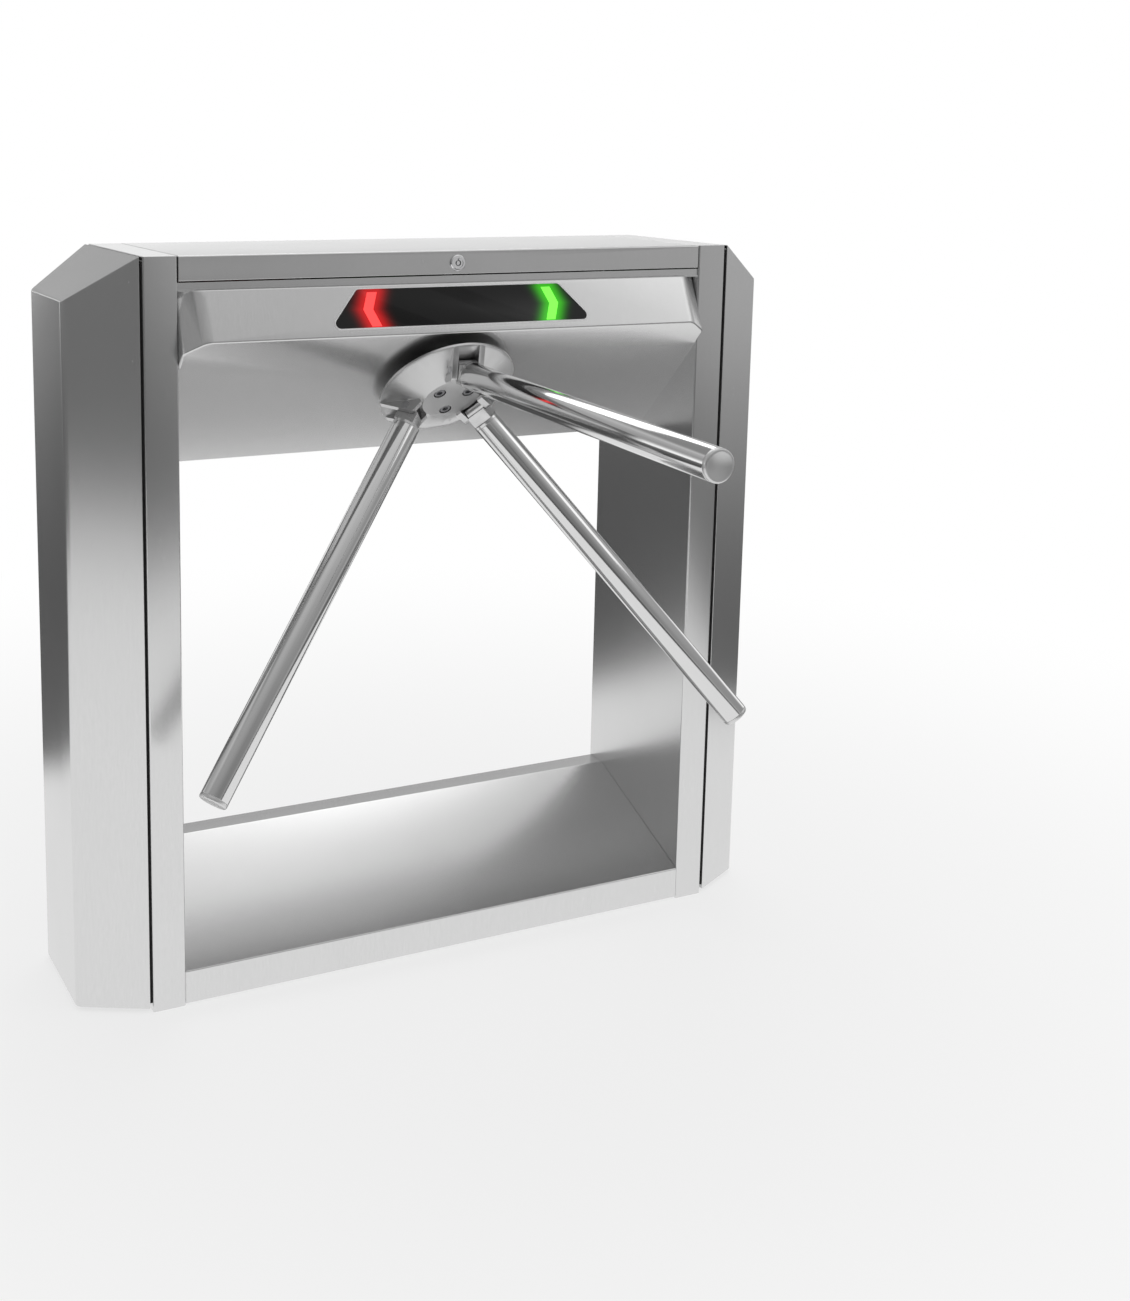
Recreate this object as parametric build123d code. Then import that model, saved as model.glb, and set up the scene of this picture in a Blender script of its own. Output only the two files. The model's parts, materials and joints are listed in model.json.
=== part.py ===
from build123d import *
import math
import os

os.makedirs("parts", exist_ok=True)

# Driving dimensions, all in millimetres. +X runs along the housing, the front faces -Y, +Z is up.
HEIGHT = 1000.0
DEPTH = 260.0
SHEET = 2.0
POST_IN = 390.0  # inner face of a post
POST_WIDTH, SEAM, COVER_WIDTH = 45.0, 4.0, 87.0
POST_OUT = POST_IN + POST_WIDTH  # outer edge of a post's flange
COVER_IN = POST_OUT + SEAM  # inner edge of an end cover
COVER_OUT = COVER_IN + COVER_WIDTH  # end face of an end cover
COVER_RECESS = 46.0  # how far the end face lies behind the front
COVER_DROP = 57.0  # fall of the end cover's top
COVER_LIFT = 6.0  # cover's bottom edge above the floor
YF, YB = -DEPTH / 2, DEPTH / 2
LIP_DROP, SHELF_DROP = 32.0, 43.0  # the lid's lip and the shelf, below the top
LID_LIP_Z, SHELF_Z = HEIGHT - LIP_DROP, HEIGHT - SHELF_DROP
BROW_REACH, BROW_LEAN, BROW_HEIGHT = 5.0, 28.0, 64.0  # display brow, from the front and the shelf
BROW_TOP_Y = YF - BROW_REACH
BROW_EDGE_Y, BROW_EDGE_Z = BROW_TOP_Y - BROW_LEAN, SHELF_Z - BROW_HEIGHT
SLOPE_SUM = BROW_EDGE_Y + BROW_EDGE_Z  # the sloped underside is the plane y + z = SLOPE_SUM
SLOPE_END_Y = YF + 150.0
TROUGH_FRONT_Z, TROUGH_BACK_Z, TROUGH_LEDGE = 48.5, 143.0, 37.0
TROUGH_BACK_Y = YB - TROUGH_LEDGE
HUB_Y = YF + 38.5  # where the hub's axis passes the sloped panel
HUB_R, BOSS_R = 96.0, 41.0
RIM_T, BOSS_T = 17.0, 35.0  # heights above the sloped panel
APEX_T = -24.4  # where the three arm axes meet
ARM_TILT = 43.0  # each arm's angle to the hub's axis
ARM_LENGTH = 667.0  # from the point where the arm axes meet
TUBE_R, TUBE_WALL = 19.0, 2.0
PIN_S, PIN_OFF = 84.0, 6.0  # pin's place along the arm, and off its axis
PIN_R = 4.0
HEEL = 1.0  # the root block starts this far past its pin, to clear the boss when folded
EAR_TIP_R = 93.0  # where an ear runs out at the hub's rim
SCREW_PITCH_R, SCREW_HEAD_R, SCREW_BORE_R = 25.0, 7.2, 8.8
ANCHOR_Y, ANCHOR_REACH, ANCHOR_HOLE_R = 60.0, 31.0, 7.0
BEND_R = 2.5  # outside radius of the folded edges
BROW_BACK_Y = YF + 26.0  # how far the brow's cheeks run back inside the posts
CHEEK_W, CHEEK_D = 28.0, 22.0  # width and depth of the brow's turned-back cheeks
GEAR_TEETH, PINION_TEETH, MODULE = 48, 16, 2.0

HUB = Plane(origin=(0, HUB_Y, SLOPE_SUM - HUB_Y), x_dir=(1, 0, 0), z_dir=(0, -1, -1))
FACE_LEN = math.hypot(BROW_TOP_Y - BROW_EDGE_Y, SHELF_Z - BROW_EDGE_Z)
FASCIA = Plane(
    origin=(0, (BROW_TOP_Y + BROW_EDGE_Y) / 2, (SHELF_Z + BROW_EDGE_Z) / 2),
    x_dir=(1, 0, 0),
    z_dir=(0, -(SHELF_Z - BROW_EDGE_Z), BROW_TOP_Y - BROW_EDGE_Y),
)


def block(x0, x1, y0, y1, z0, z1):
    """A box between two corners."""
    return Pos((x0 + x1) / 2, (y0 + y1) / 2, (z0 + z1) / 2) * Box(x1 - x0, y1 - y0, z1 - z0)


def rod(r, z0, z1, x=0.0, y=0.0):
    """A cylinder along Z between two heights."""
    return Pos(x, y, (z0 + z1) / 2) * Cylinder(r, z1 - z0)


def ring(r_in, r_out, z0, z1, x=0.0, y=0.0):
    return rod(r_out, z0, z1, x, y) - rod(r_in, z0 - 1, z1 + 1, x, y)


def rod_x(r, x0, x1, y, z):
    """A cylinder along X."""
    return Pos((x0 + x1) / 2, y, z) * Rot(0, 90, 0) * Cylinder(r, x1 - x0)


def rod_y(r, y0, y1, x, z):
    """A cylinder along Y."""
    return Pos(x, (y0 + y1) / 2, z) * Rot(90, 0, 0) * Cylinder(r, y1 - y0)


def profile(points, half, x=0.0):
    """A (y, z) outline drawn out along X."""
    face = Plane.YZ * make_face(Polyline(*points, close=True))
    return Pos(x, 0, 0) * extrude(face, amount=half, both=True)


def mirrored(shape):
    return mirror(shape, about=Plane.YZ)


def save(name, *solids):
    """Writes one node's STEP file from one or more separate solids."""
    found = [s for shape in solids for s in shape.solids()]
    shape = found[0] if len(found) == 1 else Compound(children=found)
    shape.label = name
    export_step(shape, f"parts/{name}.step")


def in_hub(shape):
    return HUB.location * shape


# ---------------------------------------------------------------- end posts and covers
def post_frame():
    """Folded channel standing at the housing's right end, open towards the end cover."""
    web = block(POST_IN, POST_IN + SHEET, YF, YB, 0, HEIGHT)
    shape = web + block(POST_IN, POST_OUT, YF, YB, HEIGHT - SHEET, HEIGHT)
    for y0, y1, l0, l1 in ((YF, YF + SHEET, YF, YF + 25), (YB - SHEET, YB, YB - 25, YB)):
        shape += block(POST_IN, POST_OUT, y0, y1, 0, HEIGHT)
        shape += block(POST_OUT - SHEET, POST_OUT, l0, l1, 0, HEIGHT)
    bends = [e for e in shape.edges().filter_by(Axis.Z) if abs(abs(e.center().Y) - YB) < 0.1]
    return fillet(bends, BEND_R)


def cover_body(inset):
    """The end cover's faceted body, shrunk by inset on every closed side."""
    half, end = DEPTH / 2 - inset * 1.06, COVER_OUT - inset
    run, rise = COVER_OUT - COVER_IN, COVER_RECESS
    end_half = DEPTH / 2 - rise - inset * 0.6
    start = COVER_IN - (0 if inset == 0 else 1)
    low = COVER_LIFT if inset == 0 else COVER_LIFT - 1
    plan = Polyline((start, -half), (end, -end_half), (end, end_half), (start, half), close=True)
    body = extrude(Plane.XY.offset(low) * make_face(plan), amount=HEIGHT - low)
    drop = inset * 1.2
    top = [(COVER_IN - 60, HEIGHT + 60 / run * COVER_DROP - drop), (COVER_IN - 60, HEIGHT + 90),
           (end + 60, HEIGHT + 90), (end + 60, HEIGHT - (end + 60 - COVER_IN) / run * COVER_DROP - drop)]
    cut = extrude(Plane.XZ * make_face(Polyline(*top, close=True)), amount=DEPTH, both=True)
    body -= cut
    corners = body.edges().filter_by(Axis.Z).filter_by_position(Axis.X, end - 1, end + 1)
    return fillet(corners, 14 - inset)


def end_cover():
    shell = cover_body(0) - cover_body(SHEET)
    for side in (-1, 1):
        y0, y1 = sorted((side * (YB - 25), side * (YB - 2.5)))
        shell += block(COVER_IN, COVER_IN + SHEET, y0, y1, COVER_LIFT, HEIGHT - 6)
    return shell


def seam_seals():
    """Black strips that fill the seam between a post and its cover, a little behind the surface."""
    return [block(POST_OUT, COVER_IN, s * (YB - 16) - 8, s * (YB - 16) + 8, 10, HEIGHT - 10) for s in (-1, 1)]


def base_plate():
    """Floor plate inside the right end, with two anchor holes."""
    wide, narrow = YB - 30, YB - COVER_RECESS - 10
    knee, end = COVER_IN + 16, COVER_OUT - 7
    outline = Polyline((POST_IN + SHEET, -wide), (knee, -wide), (end, -narrow), (end, narrow), (knee, wide),
                       (POST_IN + SHEET, wide), close=True)
    plate = extrude(make_face(outline), amount=8)
    for y in (-ANCHOR_Y, ANCHOR_Y):
        plate -= rod(ANCHOR_HOLE_R, -1, 9, COVER_IN + ANCHOR_REACH, y)
    return plate


# ---------------------------------------------------------------- head of the housing
def brow_body(inset):
    """The leaning display brow that stands out in front of the posts."""
    half = POST_IN - inset
    low, high = BROW_EDGE_Z - 43, SHELF_Z - inset  # low lies under everything the slope keeps
    lean = (BROW_TOP_Y - BROW_EDGE_Y) / (SHELF_Z - BROW_EDGE_Z)
    y_low = BROW_EDGE_Y - (BROW_EDGE_Z - low) * lean + inset * 1.09
    cheek = y_low + CHEEK_D
    plan = make_face(Polyline((-half, 0), (-half, cheek), (-half + CHEEK_W, y_low), (half - CHEEK_W, y_low),
                              (half, cheek), (half, 0), close=True))
    plan = fillet(plan.vertices().filter_by_position(Axis.Y, y_low - 1, y_low + 1), CHEEK_W * 0.8 - inset)
    plan = fillet(plan.vertices().filter_by_position(Axis.Y, cheek - 1, cheek + 1), CHEEK_W * 0.4 - inset)
    body = extrude(Plane.XY.offset(low) * plan, amount=HEIGHT - low + 50, dir=(0, lean, 1))
    front = BROW_BACK_Y
    limit = SLOPE_SUM + inset * math.sqrt(2)
    body &= profile([(-300, high), (front, high), (front, limit - front), (-300, limit + 300)], 500)
    if inset == 0:
        rims = body.edges().filter_by(lambda e: e.center().Y < YF and abs(e.center().Z - (low + high) / 2) > 8)
        body = fillet(rims.filter_by(Axis.X), 3)
    return body


def display_outline(grow=0.0):
    pts = [(-151 - grow, 29.5 + grow), (151 + grow, 29.5 + grow), (196 + grow * 1.6, -23.5 - grow),
           (-196 - grow * 1.6, -23.5 - grow)]
    face = make_face(Polyline(*pts, close=True))
    return fillet(face.vertices(), 7)


def chevron(side):
    pts = [(137, 25), (123, 25), (132, 1.5), (123, -22), (137, -22), (146, 1.5)]
    return make_face(Polyline(*[(side * x, y) for x, y in pts], close=True))


def on_fascia(face, z0, z1):
    return extrude(FASCIA * Pos(0, 0, z0) * face, amount=z1 - z0)


def front_shell():
    """One folded front sheet: shelf, display brow, sloped underside and floor of the head."""
    inner = brow_body(SHEET)
    shell = brow_body(0) - (inner + Pos(0, 0.5, 0) * inner)
    k = SHEET * math.sqrt(2)
    y0 = YF + SHEET
    end = SLOPE_END_Y
    floor = SLOPE_SUM - end
    knee = end + SHEET * math.tan(math.radians(22.5))
    shell += profile([(y0, SLOPE_SUM - y0), (end, floor), (YB - SHEET, floor), (YB - SHEET, floor + SHEET),
                      (knee, floor + SHEET), (y0, SLOPE_SUM - y0 + k)], POST_IN)
    shell += block(-POST_IN, POST_IN, y0 - 0.5, YF + 34, SHELF_Z - SHEET, SHELF_Z)
    shell += block(-POST_IN, POST_IN, YF + 3, YF + 3 + SHEET, SHELF_Z, SHELF_Z + 9)
    shell -= on_fascia(display_outline(), -6, 4)
    shell -= in_hub(rod(43, -20, 20))
    return shell


def rear_panel():
    panel = block(-POST_IN, POST_IN, YB - SHEET, YB, SLOPE_SUM - SLOPE_END_Y, HEIGHT - 20)
    return panel


def trough_cover():
    """Folded low beam between the posts: front face, sloping top and flat rear flange."""
    t = SHEET
    slope = math.atan2(TROUGH_BACK_Z - TROUGH_FRONT_Z, TROUGH_BACK_Y - YF)
    front_in = TROUGH_FRONT_Z - t * math.tan((math.pi / 2 - slope) / 2) * 1.0
    knee = TROUGH_BACK_Y + t * math.tan(slope / 2)
    front_z = TROUGH_FRONT_Z + t * math.tan(slope) - t / math.cos(slope)
    outline = [(YF, 3), (YF, TROUGH_FRONT_Z), (TROUGH_BACK_Y, TROUGH_BACK_Z), (YB, TROUGH_BACK_Z), (YB, 3),
               (YB - t, 3), (YB - t, TROUGH_BACK_Z - t), (knee, TROUGH_BACK_Z - t), (YF + t, front_z),
               (YF + t, 3)]
    beam = profile(outline, POST_IN)
    along = beam.edges().filter_by(Axis.X)
    bends = [e for e in along for y, z in (outline[1], outline[2], outline[3])
             if abs(e.center().Y - y) < 0.1 and abs(e.center().Z - z) < 0.1]
    return fillet(bends, BEND_R)


# ---------------------------------------------------------------- lid, its hinge and lock
LOCK_Z, LOCK_BACK = HEIGHT - 17, YF + 26
HINGE_Y, HINGE_Z = YB - 6, HEIGHT - 7.5


def lid():
    half = POST_IN - 1
    top = block(-half, half, YF, YB, HEIGHT - SHEET, HEIGHT)
    top += block(-half, half, YF, YF + SHEET, LID_LIP_Z, HEIGHT)
    for s in (-1, 1):
        x0, x1 = sorted((s * (half - SHEET), s * half))
        top += block(x0, x1, YF, YB - 18, HEIGHT - 18, HEIGHT)
    top = fillet(top.edges().filter_by(Axis.X).filter_by_position(Axis.Z, HEIGHT - 0.1, HEIGHT + 0.1)
                 .filter_by_position(Axis.Y, YF - 0.1, YF + 0.1), BEND_R)
    return top - rod_y(9.5, YF - 5, YF + 5, 0, LOCK_Z)


def knuckles(spans, bore):
    shape = None
    for x0, x1 in spans:
        part = rod_x(4.0, x0, x1, HINGE_Y, HINGE_Z)
        shape = part if shape is None else shape + part
    return shape, rod_x(bore, -400, 400, HINGE_Y, HINGE_Z)


FIXED_SPANS = [(-360, -220), (-78, 78), (220, 360)]
MOVING_SPANS = [(-219, -79), (79, 219)]


def hinge_fixed_leaf():
    leaf = block(-360, 360, YB - 4, YB - 2, HEIGHT - 50, HEIGHT - 12)
    barrel, bore = knuckles(FIXED_SPANS, 1.5)
    shape = leaf + barrel + sum_blocks(FIXED_SPANS, HINGE_Y, YB - 2, HEIGHT - 14, HINGE_Z)
    for x0, x1 in MOVING_SPANS:
        shape -= block(x0 - 1, x1 + 1, YB - 15, YB + 1, HEIGHT - 17, HEIGHT)
    return shape - bore


def sum_blocks(spans, y0, y1, z0, z1):
    shape = None
    for x0, x1 in spans:
        part = block(x0, x1, y0, y1, z0, z1)
        shape = part if shape is None else shape + part
    return shape


def hinge_moving_leaf():
    under = HEIGHT - SHEET
    leaf = block(-360, 360, YB - 38, YB - 12, under - 1.5, under)
    barrel, bore = knuckles(MOVING_SPANS, 1.55)
    return leaf + barrel + sum_blocks(MOVING_SPANS, YB - 13, HINGE_Y, under - 3.4, under - 1.5) \
        + sum_blocks(MOVING_SPANS, YB - 18, YB - 12, under - 3.4, under) - bore


def lock_barrel():
    body = rod_y(9.5, YF, LOCK_BACK, 0, LOCK_Z) + rod_y(11.2, YF - 3, YF, 0, LOCK_Z)
    body = chamfer(body.edges().filter_by(GeomType.CIRCLE).filter_by_position(Axis.Y, YF - 3.1, YF - 2.9), 1.2)
    return body - rod_y(7.05, YF - 4, LOCK_BACK + 4, 0, LOCK_Z)


def lock_plug():
    plug = rod_y(7.0, YF - 2, LOCK_BACK, 0, LOCK_Z) + rod_y(4.0, LOCK_BACK, LOCK_BACK + 5, 0, LOCK_Z)
    keyway = rod_y(4.2, YF - 3, YF + 8, 0, LOCK_Z) - rod_y(2.6, YF - 4, YF + 9, 0, LOCK_Z)
    notch = block(-0.9, 0.9, YF - 3, YF + 4, LOCK_Z + 3, LOCK_Z + 6)
    return plug - keyway - notch


def lock_cam():
    y0, y1 = LOCK_BACK + 1, LOCK_BACK + 3
    cam = block(-6, 6, y0, y1, LOCK_Z - 20, LOCK_Z) + rod_y(7.5, y0, y1, 0, LOCK_Z)
    return cam - rod_y(4.0, y0 - 7, y1 + 11, 0, LOCK_Z)


def lock_nut():
    nut = extrude(Plane.XZ.offset(-YF - 6) * Pos(0, LOCK_Z) * RegularPolygon(14, 6), amount=4)
    return nut - rod_y(9.5, YF - 10, YF + 30, 0, LOCK_Z)


def lock_striker():
    y0, y1, top = LOCK_BACK - 4, LOCK_BACK + 8, HEIGHT - 6
    foot = block(24, 50, y0 - 8, y1 - 2, SHELF_Z, SHELF_Z + SHEET)
    return foot + block(24, 26, y0, y1, SHELF_Z, top) + block(10, 26, y0, y1, top - 2.5, top)


# ---------------------------------------------------------------- hub and arms
def hub_section():
    """Half section of the turning hub: radius against height over the sloped panel."""
    pts = [(15, 12), (90, 12), (HUB_R, 14), (HUB_R, RIM_T), (HUB_R - 5, RIM_T), (BOSS_R + 3, BOSS_T - 2),
           (BOSS_R, BOSS_T), (0, BOSS_T), (0, 28), (15, 28)]
    return revolve(Plane.XZ * make_face(Polyline(*pts, close=True)), Axis.Z)


def pin_place():
    """The arm pin's radius from the hub's axis and its height over the panel."""
    s, c = math.sin(math.radians(ARM_TILT)), math.cos(math.radians(ARM_TILT))
    return PIN_S * s + PIN_OFF * c, APEX_T + PIN_S * c - PIN_OFF * s


def around(radius, degrees):
    return radius * math.cos(math.radians(degrees)), radius * math.sin(math.radians(degrees))


def spin(shape, turn):
    return Rot(0, 0, turn) * shape


def hub_body():
    hub = hub_section()
    pin_r, pin_t = pin_place()
    ear_face = make_face(Polyline((pin_r - 22, 15), (EAR_TIP_R, 15), (EAR_TIP_R, RIM_T + 0.5),
                                  (pin_r - 6, pin_t + 13), (pin_r - 22, pin_t + 4), close=True))
    ear_face = fillet(ear_face.vertices().filter_by_position(Axis.Y, pin_t + 12, pin_t + 14), 6)
    ear = extrude(Plane.YZ * ear_face, amount=8.4)
    slot = block(-15.2, 15.2, pin_r - 16.5, HUB_R + 5, 18.5, 80)
    for turn in (0, 120, 240):
        both = Pos(15.2, 0, 0) * ear + Pos(-23.6, 0, 0) * ear
        hub += spin(both, turn)
    for turn in (0, 120, 240):
        hub -= spin(slot, turn)
        hub -= spin(rod_x(PIN_R, -40, 40, pin_r, pin_t), turn)
    hub -= rod(34, 11, 20)
    hub -= rod(15, 11, 28)
    for angle in (30, 150, 270):
        x, y = around(SCREW_PITCH_R, angle)
        hub -= rod(SCREW_BORE_R, BOSS_T - 8, BOSS_T + 1, x, y)
        hub -= rod(4.0, 11, BOSS_T, x, y)
    return hub


def hub_screws():
    screws = []
    for angle in (30, 150, 270):
        x, y = around(SCREW_PITCH_R, angle)
        screw = rod(SCREW_HEAD_R, BOSS_T - 8, BOSS_T - 0.8, x, y) + rod(4.0, 14, BOSS_T - 8, x, y)
        hexagon = extrude(Pos(x, y, BOSS_T - 4.5) * RegularPolygon(4.6, 6), amount=6)
        screws.append(screw - hexagon)
    return screws


def main_shaft():
    shaft = rod(15, -112, 28) + rod(34, 12, 20) + rod(19, 9.6, 12)
    for angle in (30, 150, 270):
        x, y = around(SCREW_PITCH_R, angle)
        shaft -= rod(4.0, 14, 21, x, y)
    return shaft


def arm_frame():
    s, c = math.sin(math.radians(ARM_TILT)), math.cos(math.radians(ARM_TILT))
    return Plane(origin=(0, 0, APEX_T), x_dir=(1, 0, 0), z_dir=(0, s, c))


def place_arm(shape, turn):
    return in_hub(spin(arm_frame().location * shape, turn))


TUBE_START = 106.0


def arm_root():
    """Square root block with a round end about the pin and a spigot inside the tube."""
    body = block(-14.5, 14.5, -12, 16, PIN_S + HEEL, TUBE_START - 4)
    body += rod_x(13.0, -14.5, 14.5, PIN_OFF, PIN_S)
    body += rod(TUBE_R, TUBE_START - 4, TUBE_START)
    body += rod(TUBE_R - TUBE_WALL, TUBE_START, TUBE_START + 40)
    return body - rod_x(PIN_R + 0.05, -20, 20, PIN_OFF, PIN_S)


def arm_tube():
    return ring(TUBE_R - TUBE_WALL, TUBE_R, TUBE_START, ARM_LENGTH - 6)


def arm_cap():
    cap = rod(TUBE_R, ARM_LENGTH - 6, ARM_LENGTH)
    cap = fillet(cap.edges().filter_by_position(Axis.Z, ARM_LENGTH - 0.1, ARM_LENGTH + 0.1), 2.6)
    return cap + rod(TUBE_R - TUBE_WALL, ARM_LENGTH - 26, ARM_LENGTH - 6)


def arm_pin():
    pin = rod_x(PIN_R, -23.6, 23.6, PIN_OFF, PIN_S)
    return pin


# ---------------------------------------------------------------- mechanism behind the sloped panel
def mechanism_plate():
    plate = block(-95, 95, -62, 62, -10, -2)
    return plate - rod(43, -20, 5)


def bearing_housing():
    body = rod(43, -10, 0) + rod(41, 0, 9) + rod(49, -18, -10) + rod(34, -70, -18)
    body -= rod(20, -80, 20)
    body -= rod(26, -3, 10)
    body -= rod(26, -71, -58)
    return body


def shaft_bearings():
    return [ring(15.05, 26, -3, 9), ring(15.05, 26, -70, -58)]


def index_cam():
    cam = ring(15, 34, -84, -74)
    for angle in (30, 150, 270):
        x, y = 39 * math.cos(math.radians(angle)), 39 * math.sin(math.radians(angle))
        cam -= rod(9.5, -85, -73, x, y)
    return cam


ROLLER_ANGLE = 210.0
ROLLER_X = 42.6 * math.cos(math.radians(ROLLER_ANGLE))
ROLLER_Y = 42.6 * math.sin(math.radians(ROLLER_ANGLE))
LEVER_X, LEVER_Y = -72.0, 22.0


def detent_lever():
    reach = math.hypot(ROLLER_X - LEVER_X, ROLLER_Y - LEVER_Y)
    angle = math.degrees(math.atan2(ROLLER_Y - LEVER_Y, ROLLER_X - LEVER_X))
    bar = Pos(LEVER_X, LEVER_Y, 0) * Rot(0, 0, angle) * (
        block(0, reach, -6, 6, -70, -64) + rod(9, -70, -64) + rod(7, -70, -64, reach, 0))
    return bar - rod(5.05, -80, -50, LEVER_X, LEVER_Y) - rod(3, -90, -50, ROLLER_X, ROLLER_Y)


def detent_roller():
    return ring(3.05, 8.0, -84, -74, ROLLER_X, ROLLER_Y)


def roller_pin():
    return rod(3.0, -86, -64, ROLLER_X, ROLLER_Y) + rod(5.0, -74, -70, ROLLER_X, ROLLER_Y)


def detent_post():
    post = rod(5.0, -72, -10, LEVER_X, LEVER_Y) + rod(8, -63.6, -10, LEVER_X, LEVER_Y)
    return post


def involute_gear(teeth, phase, backlash=0.32):
    """A spur gear outline with involute flanks, at module MODULE and 20 degrees."""
    pitch_r, base_r = MODULE * teeth / 2, MODULE * teeth / 2 * math.cos(math.radians(20))
    tip_r, root_r = pitch_r + 0.85 * MODULE, pitch_r - 1.25 * MODULE
    inv = lambda r: math.sqrt(max(0.0, (r / base_r) ** 2 - 1)) - math.acos(min(1.0, base_r / r))
    half = (math.pi * MODULE / 2 - backlash) / (2 * pitch_r)
    start = max(base_r, root_r)
    radii = [start + (tip_r - start) * k / 5 for k in range(6)]
    pts = []
    for tooth in range(teeth):
        mid = 2 * math.pi * tooth / teeth + math.radians(phase)
        flank = [(r, half + inv(pitch_r) - inv(r)) for r in radii]
        if root_r < start:
            flank.insert(0, (root_r, flank[0][1]))
        for r, a in flank:
            pts.append((r * math.cos(mid - a), r * math.sin(mid - a)))
        for r, a in reversed(flank):
            pts.append((r * math.cos(mid + a), r * math.sin(mid + a)))
    return make_face(Polyline(*pts, close=True))


PINION_X = MODULE * (GEAR_TEETH + PINION_TEETH) / 2 + 0.15


def shaft_gear():
    gear = extrude(Pos(0, 0, -100) * involute_gear(GEAR_TEETH, 0), amount=8)
    gear -= rod(15, -110, -80)
    for k in range(6):
        a = math.radians(60 * k + 30)
        gear -= rod(7, -110, -80, 30 * math.cos(a), 30 * math.sin(a))
    return gear


def encoder_pinion():
    pinion = extrude(Pos(PINION_X, 0, -101) * involute_gear(PINION_TEETH, 180.0 / PINION_TEETH), amount=10)
    return pinion - rod(3, -110, -80, PINION_X, 0)


def encoder_shaft():
    return rod(3, -104, -58, PINION_X, 0)


def encoder_body():
    body = rod(14.5, -84, -40, PINION_X, 0) + rod(12, -40, -10, PINION_X, 0)
    return body - rod(3.05, -90, -57, PINION_X, 0)


# ---------------------------------------------------------------- electronics
BOARD_Y = YB - SHEET - 11.6  # front of the control board


def control_board():
    return block(-320, -150, BOARD_Y, BOARD_Y + 1.6, HEIGHT - 210, HEIGHT - 100)


def board_parts():
    spots = [(-300, -262, 16.4, 130, 108), (-250, -200, 12.4, 132, 108), (-300, -270, 10.4, 200, 170),
             (-235, -195, 6.4, 185, 150), (-180, -160, 14.4, 200, 120)]
    return [block(x0, x1, BOARD_Y - deep, BOARD_Y, HEIGHT - low, HEIGHT - high)
            for x0, x1, deep, low, high in spots]


def board_spacers():
    return [rod_y(4, BOARD_Y + 1.6, YB - SHEET, x, HEIGHT - z) for x in (-312, -158) for z in (202, 108)]


def power_supply():
    front, back = YB - SHEET - 40, YB - SHEET
    case = block(150, 309, front, back, HEIGHT - 240, HEIGHT - 142)
    for k in range(9):
        case -= block(170 + 14 * k, 177 + 14 * k, front - 8, front + 2, HEIGHT - 220, HEIGHT - 162)
    return case


def display_board():
    return on_fascia(make_face(Polyline((-150, 22), (150, 22), (168, -20), (-168, -20), close=True)), -9, -7.4)


def display_spacers():
    return [on_fascia(Pos(x, y) * Circle(3), -7.4, -2) for x in (-160, 160) for y in (-14,)] + \
        [on_fascia(Pos(x, 2) * Circle(3), -7.4, -2) for x in (-100, 100)]


# ---------------------------------------------------------------- export
for side, turn in (("left", mirrored), ("right", lambda s: s)):
    save(f"post_frame_{side}", turn(post_frame()))
    save(f"end_cover_{side}", turn(end_cover()))
    save(f"base_plate_{side}", turn(base_plate()))
    save(f"seam_seals_{side}", *[turn(s) for s in seam_seals()])

save("front_shell", front_shell())
save("rear_panel", rear_panel())
save("trough_cover", trough_cover())
red, green = on_fascia(chevron(-1), -0.4, 1.0), on_fascia(chevron(1), -0.4, 1.0)
save("display_glass", on_fascia(display_outline(), -2, 1.0) - red - green)
save("arrow_lens_red", red)
save("arrow_lens_green", green)
save("display_board", display_board())
save("display_spacers", *display_spacers())

save("lid", lid())
save("hinge_fixed_leaf", hinge_fixed_leaf())
save("hinge_moving_leaf", hinge_moving_leaf())
save("hinge_pin", rod_x(1.5, -360, 360, HINGE_Y, HINGE_Z))
save("lock_barrel", lock_barrel())
save("lock_plug", lock_plug())
save("lock_cam", lock_cam())
save("lock_nut", lock_nut())
save("lock_striker", lock_striker())

save("hub_body", in_hub(hub_body()))
save("hub_screws", *[in_hub(s) for s in hub_screws()])
save("main_shaft", in_hub(main_shaft()))
for name, turn in (("a", 0), ("b", 120), ("c", 240)):
    save(f"arm_{name}_root", place_arm(arm_root(), turn))
    save(f"arm_{name}_tube", place_arm(arm_tube(), turn))
    save(f"arm_{name}_cap", place_arm(arm_cap(), turn))
    save(f"arm_{name}_pin", place_arm(arm_pin(), turn))

save("mechanism_plate", in_hub(mechanism_plate()))
save("bearing_housing", in_hub(bearing_housing()))
save("shaft_bearings", *[in_hub(s) for s in shaft_bearings()])
save("index_cam", in_hub(index_cam()))
save("detent_lever", in_hub(detent_lever()))
save("detent_roller", in_hub(detent_roller()))
save("roller_pin", in_hub(roller_pin()))
save("detent_post", in_hub(detent_post()))
save("shaft_gear", in_hub(shaft_gear()))
save("encoder_pinion", in_hub(encoder_pinion()))
save("encoder_shaft", in_hub(encoder_shaft()))
save("encoder_body", in_hub(encoder_body()))
save("control_board", control_board())
save("board_parts", *board_parts())
save("board_spacers", *board_spacers())
save("power_supply", power_supply())
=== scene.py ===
"""Looks of a box-shaped tripod turnstile: brushed sheet steel, a cast hub and polished barrier arms."""

from __future__ import annotations

import json
import logging
import math
from dataclasses import dataclass, field
from enum import Enum
from typing import Any, Iterable, Mapping, Sequence

import bmesh
import bpy
from mathutils import Matrix, Vector

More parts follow.
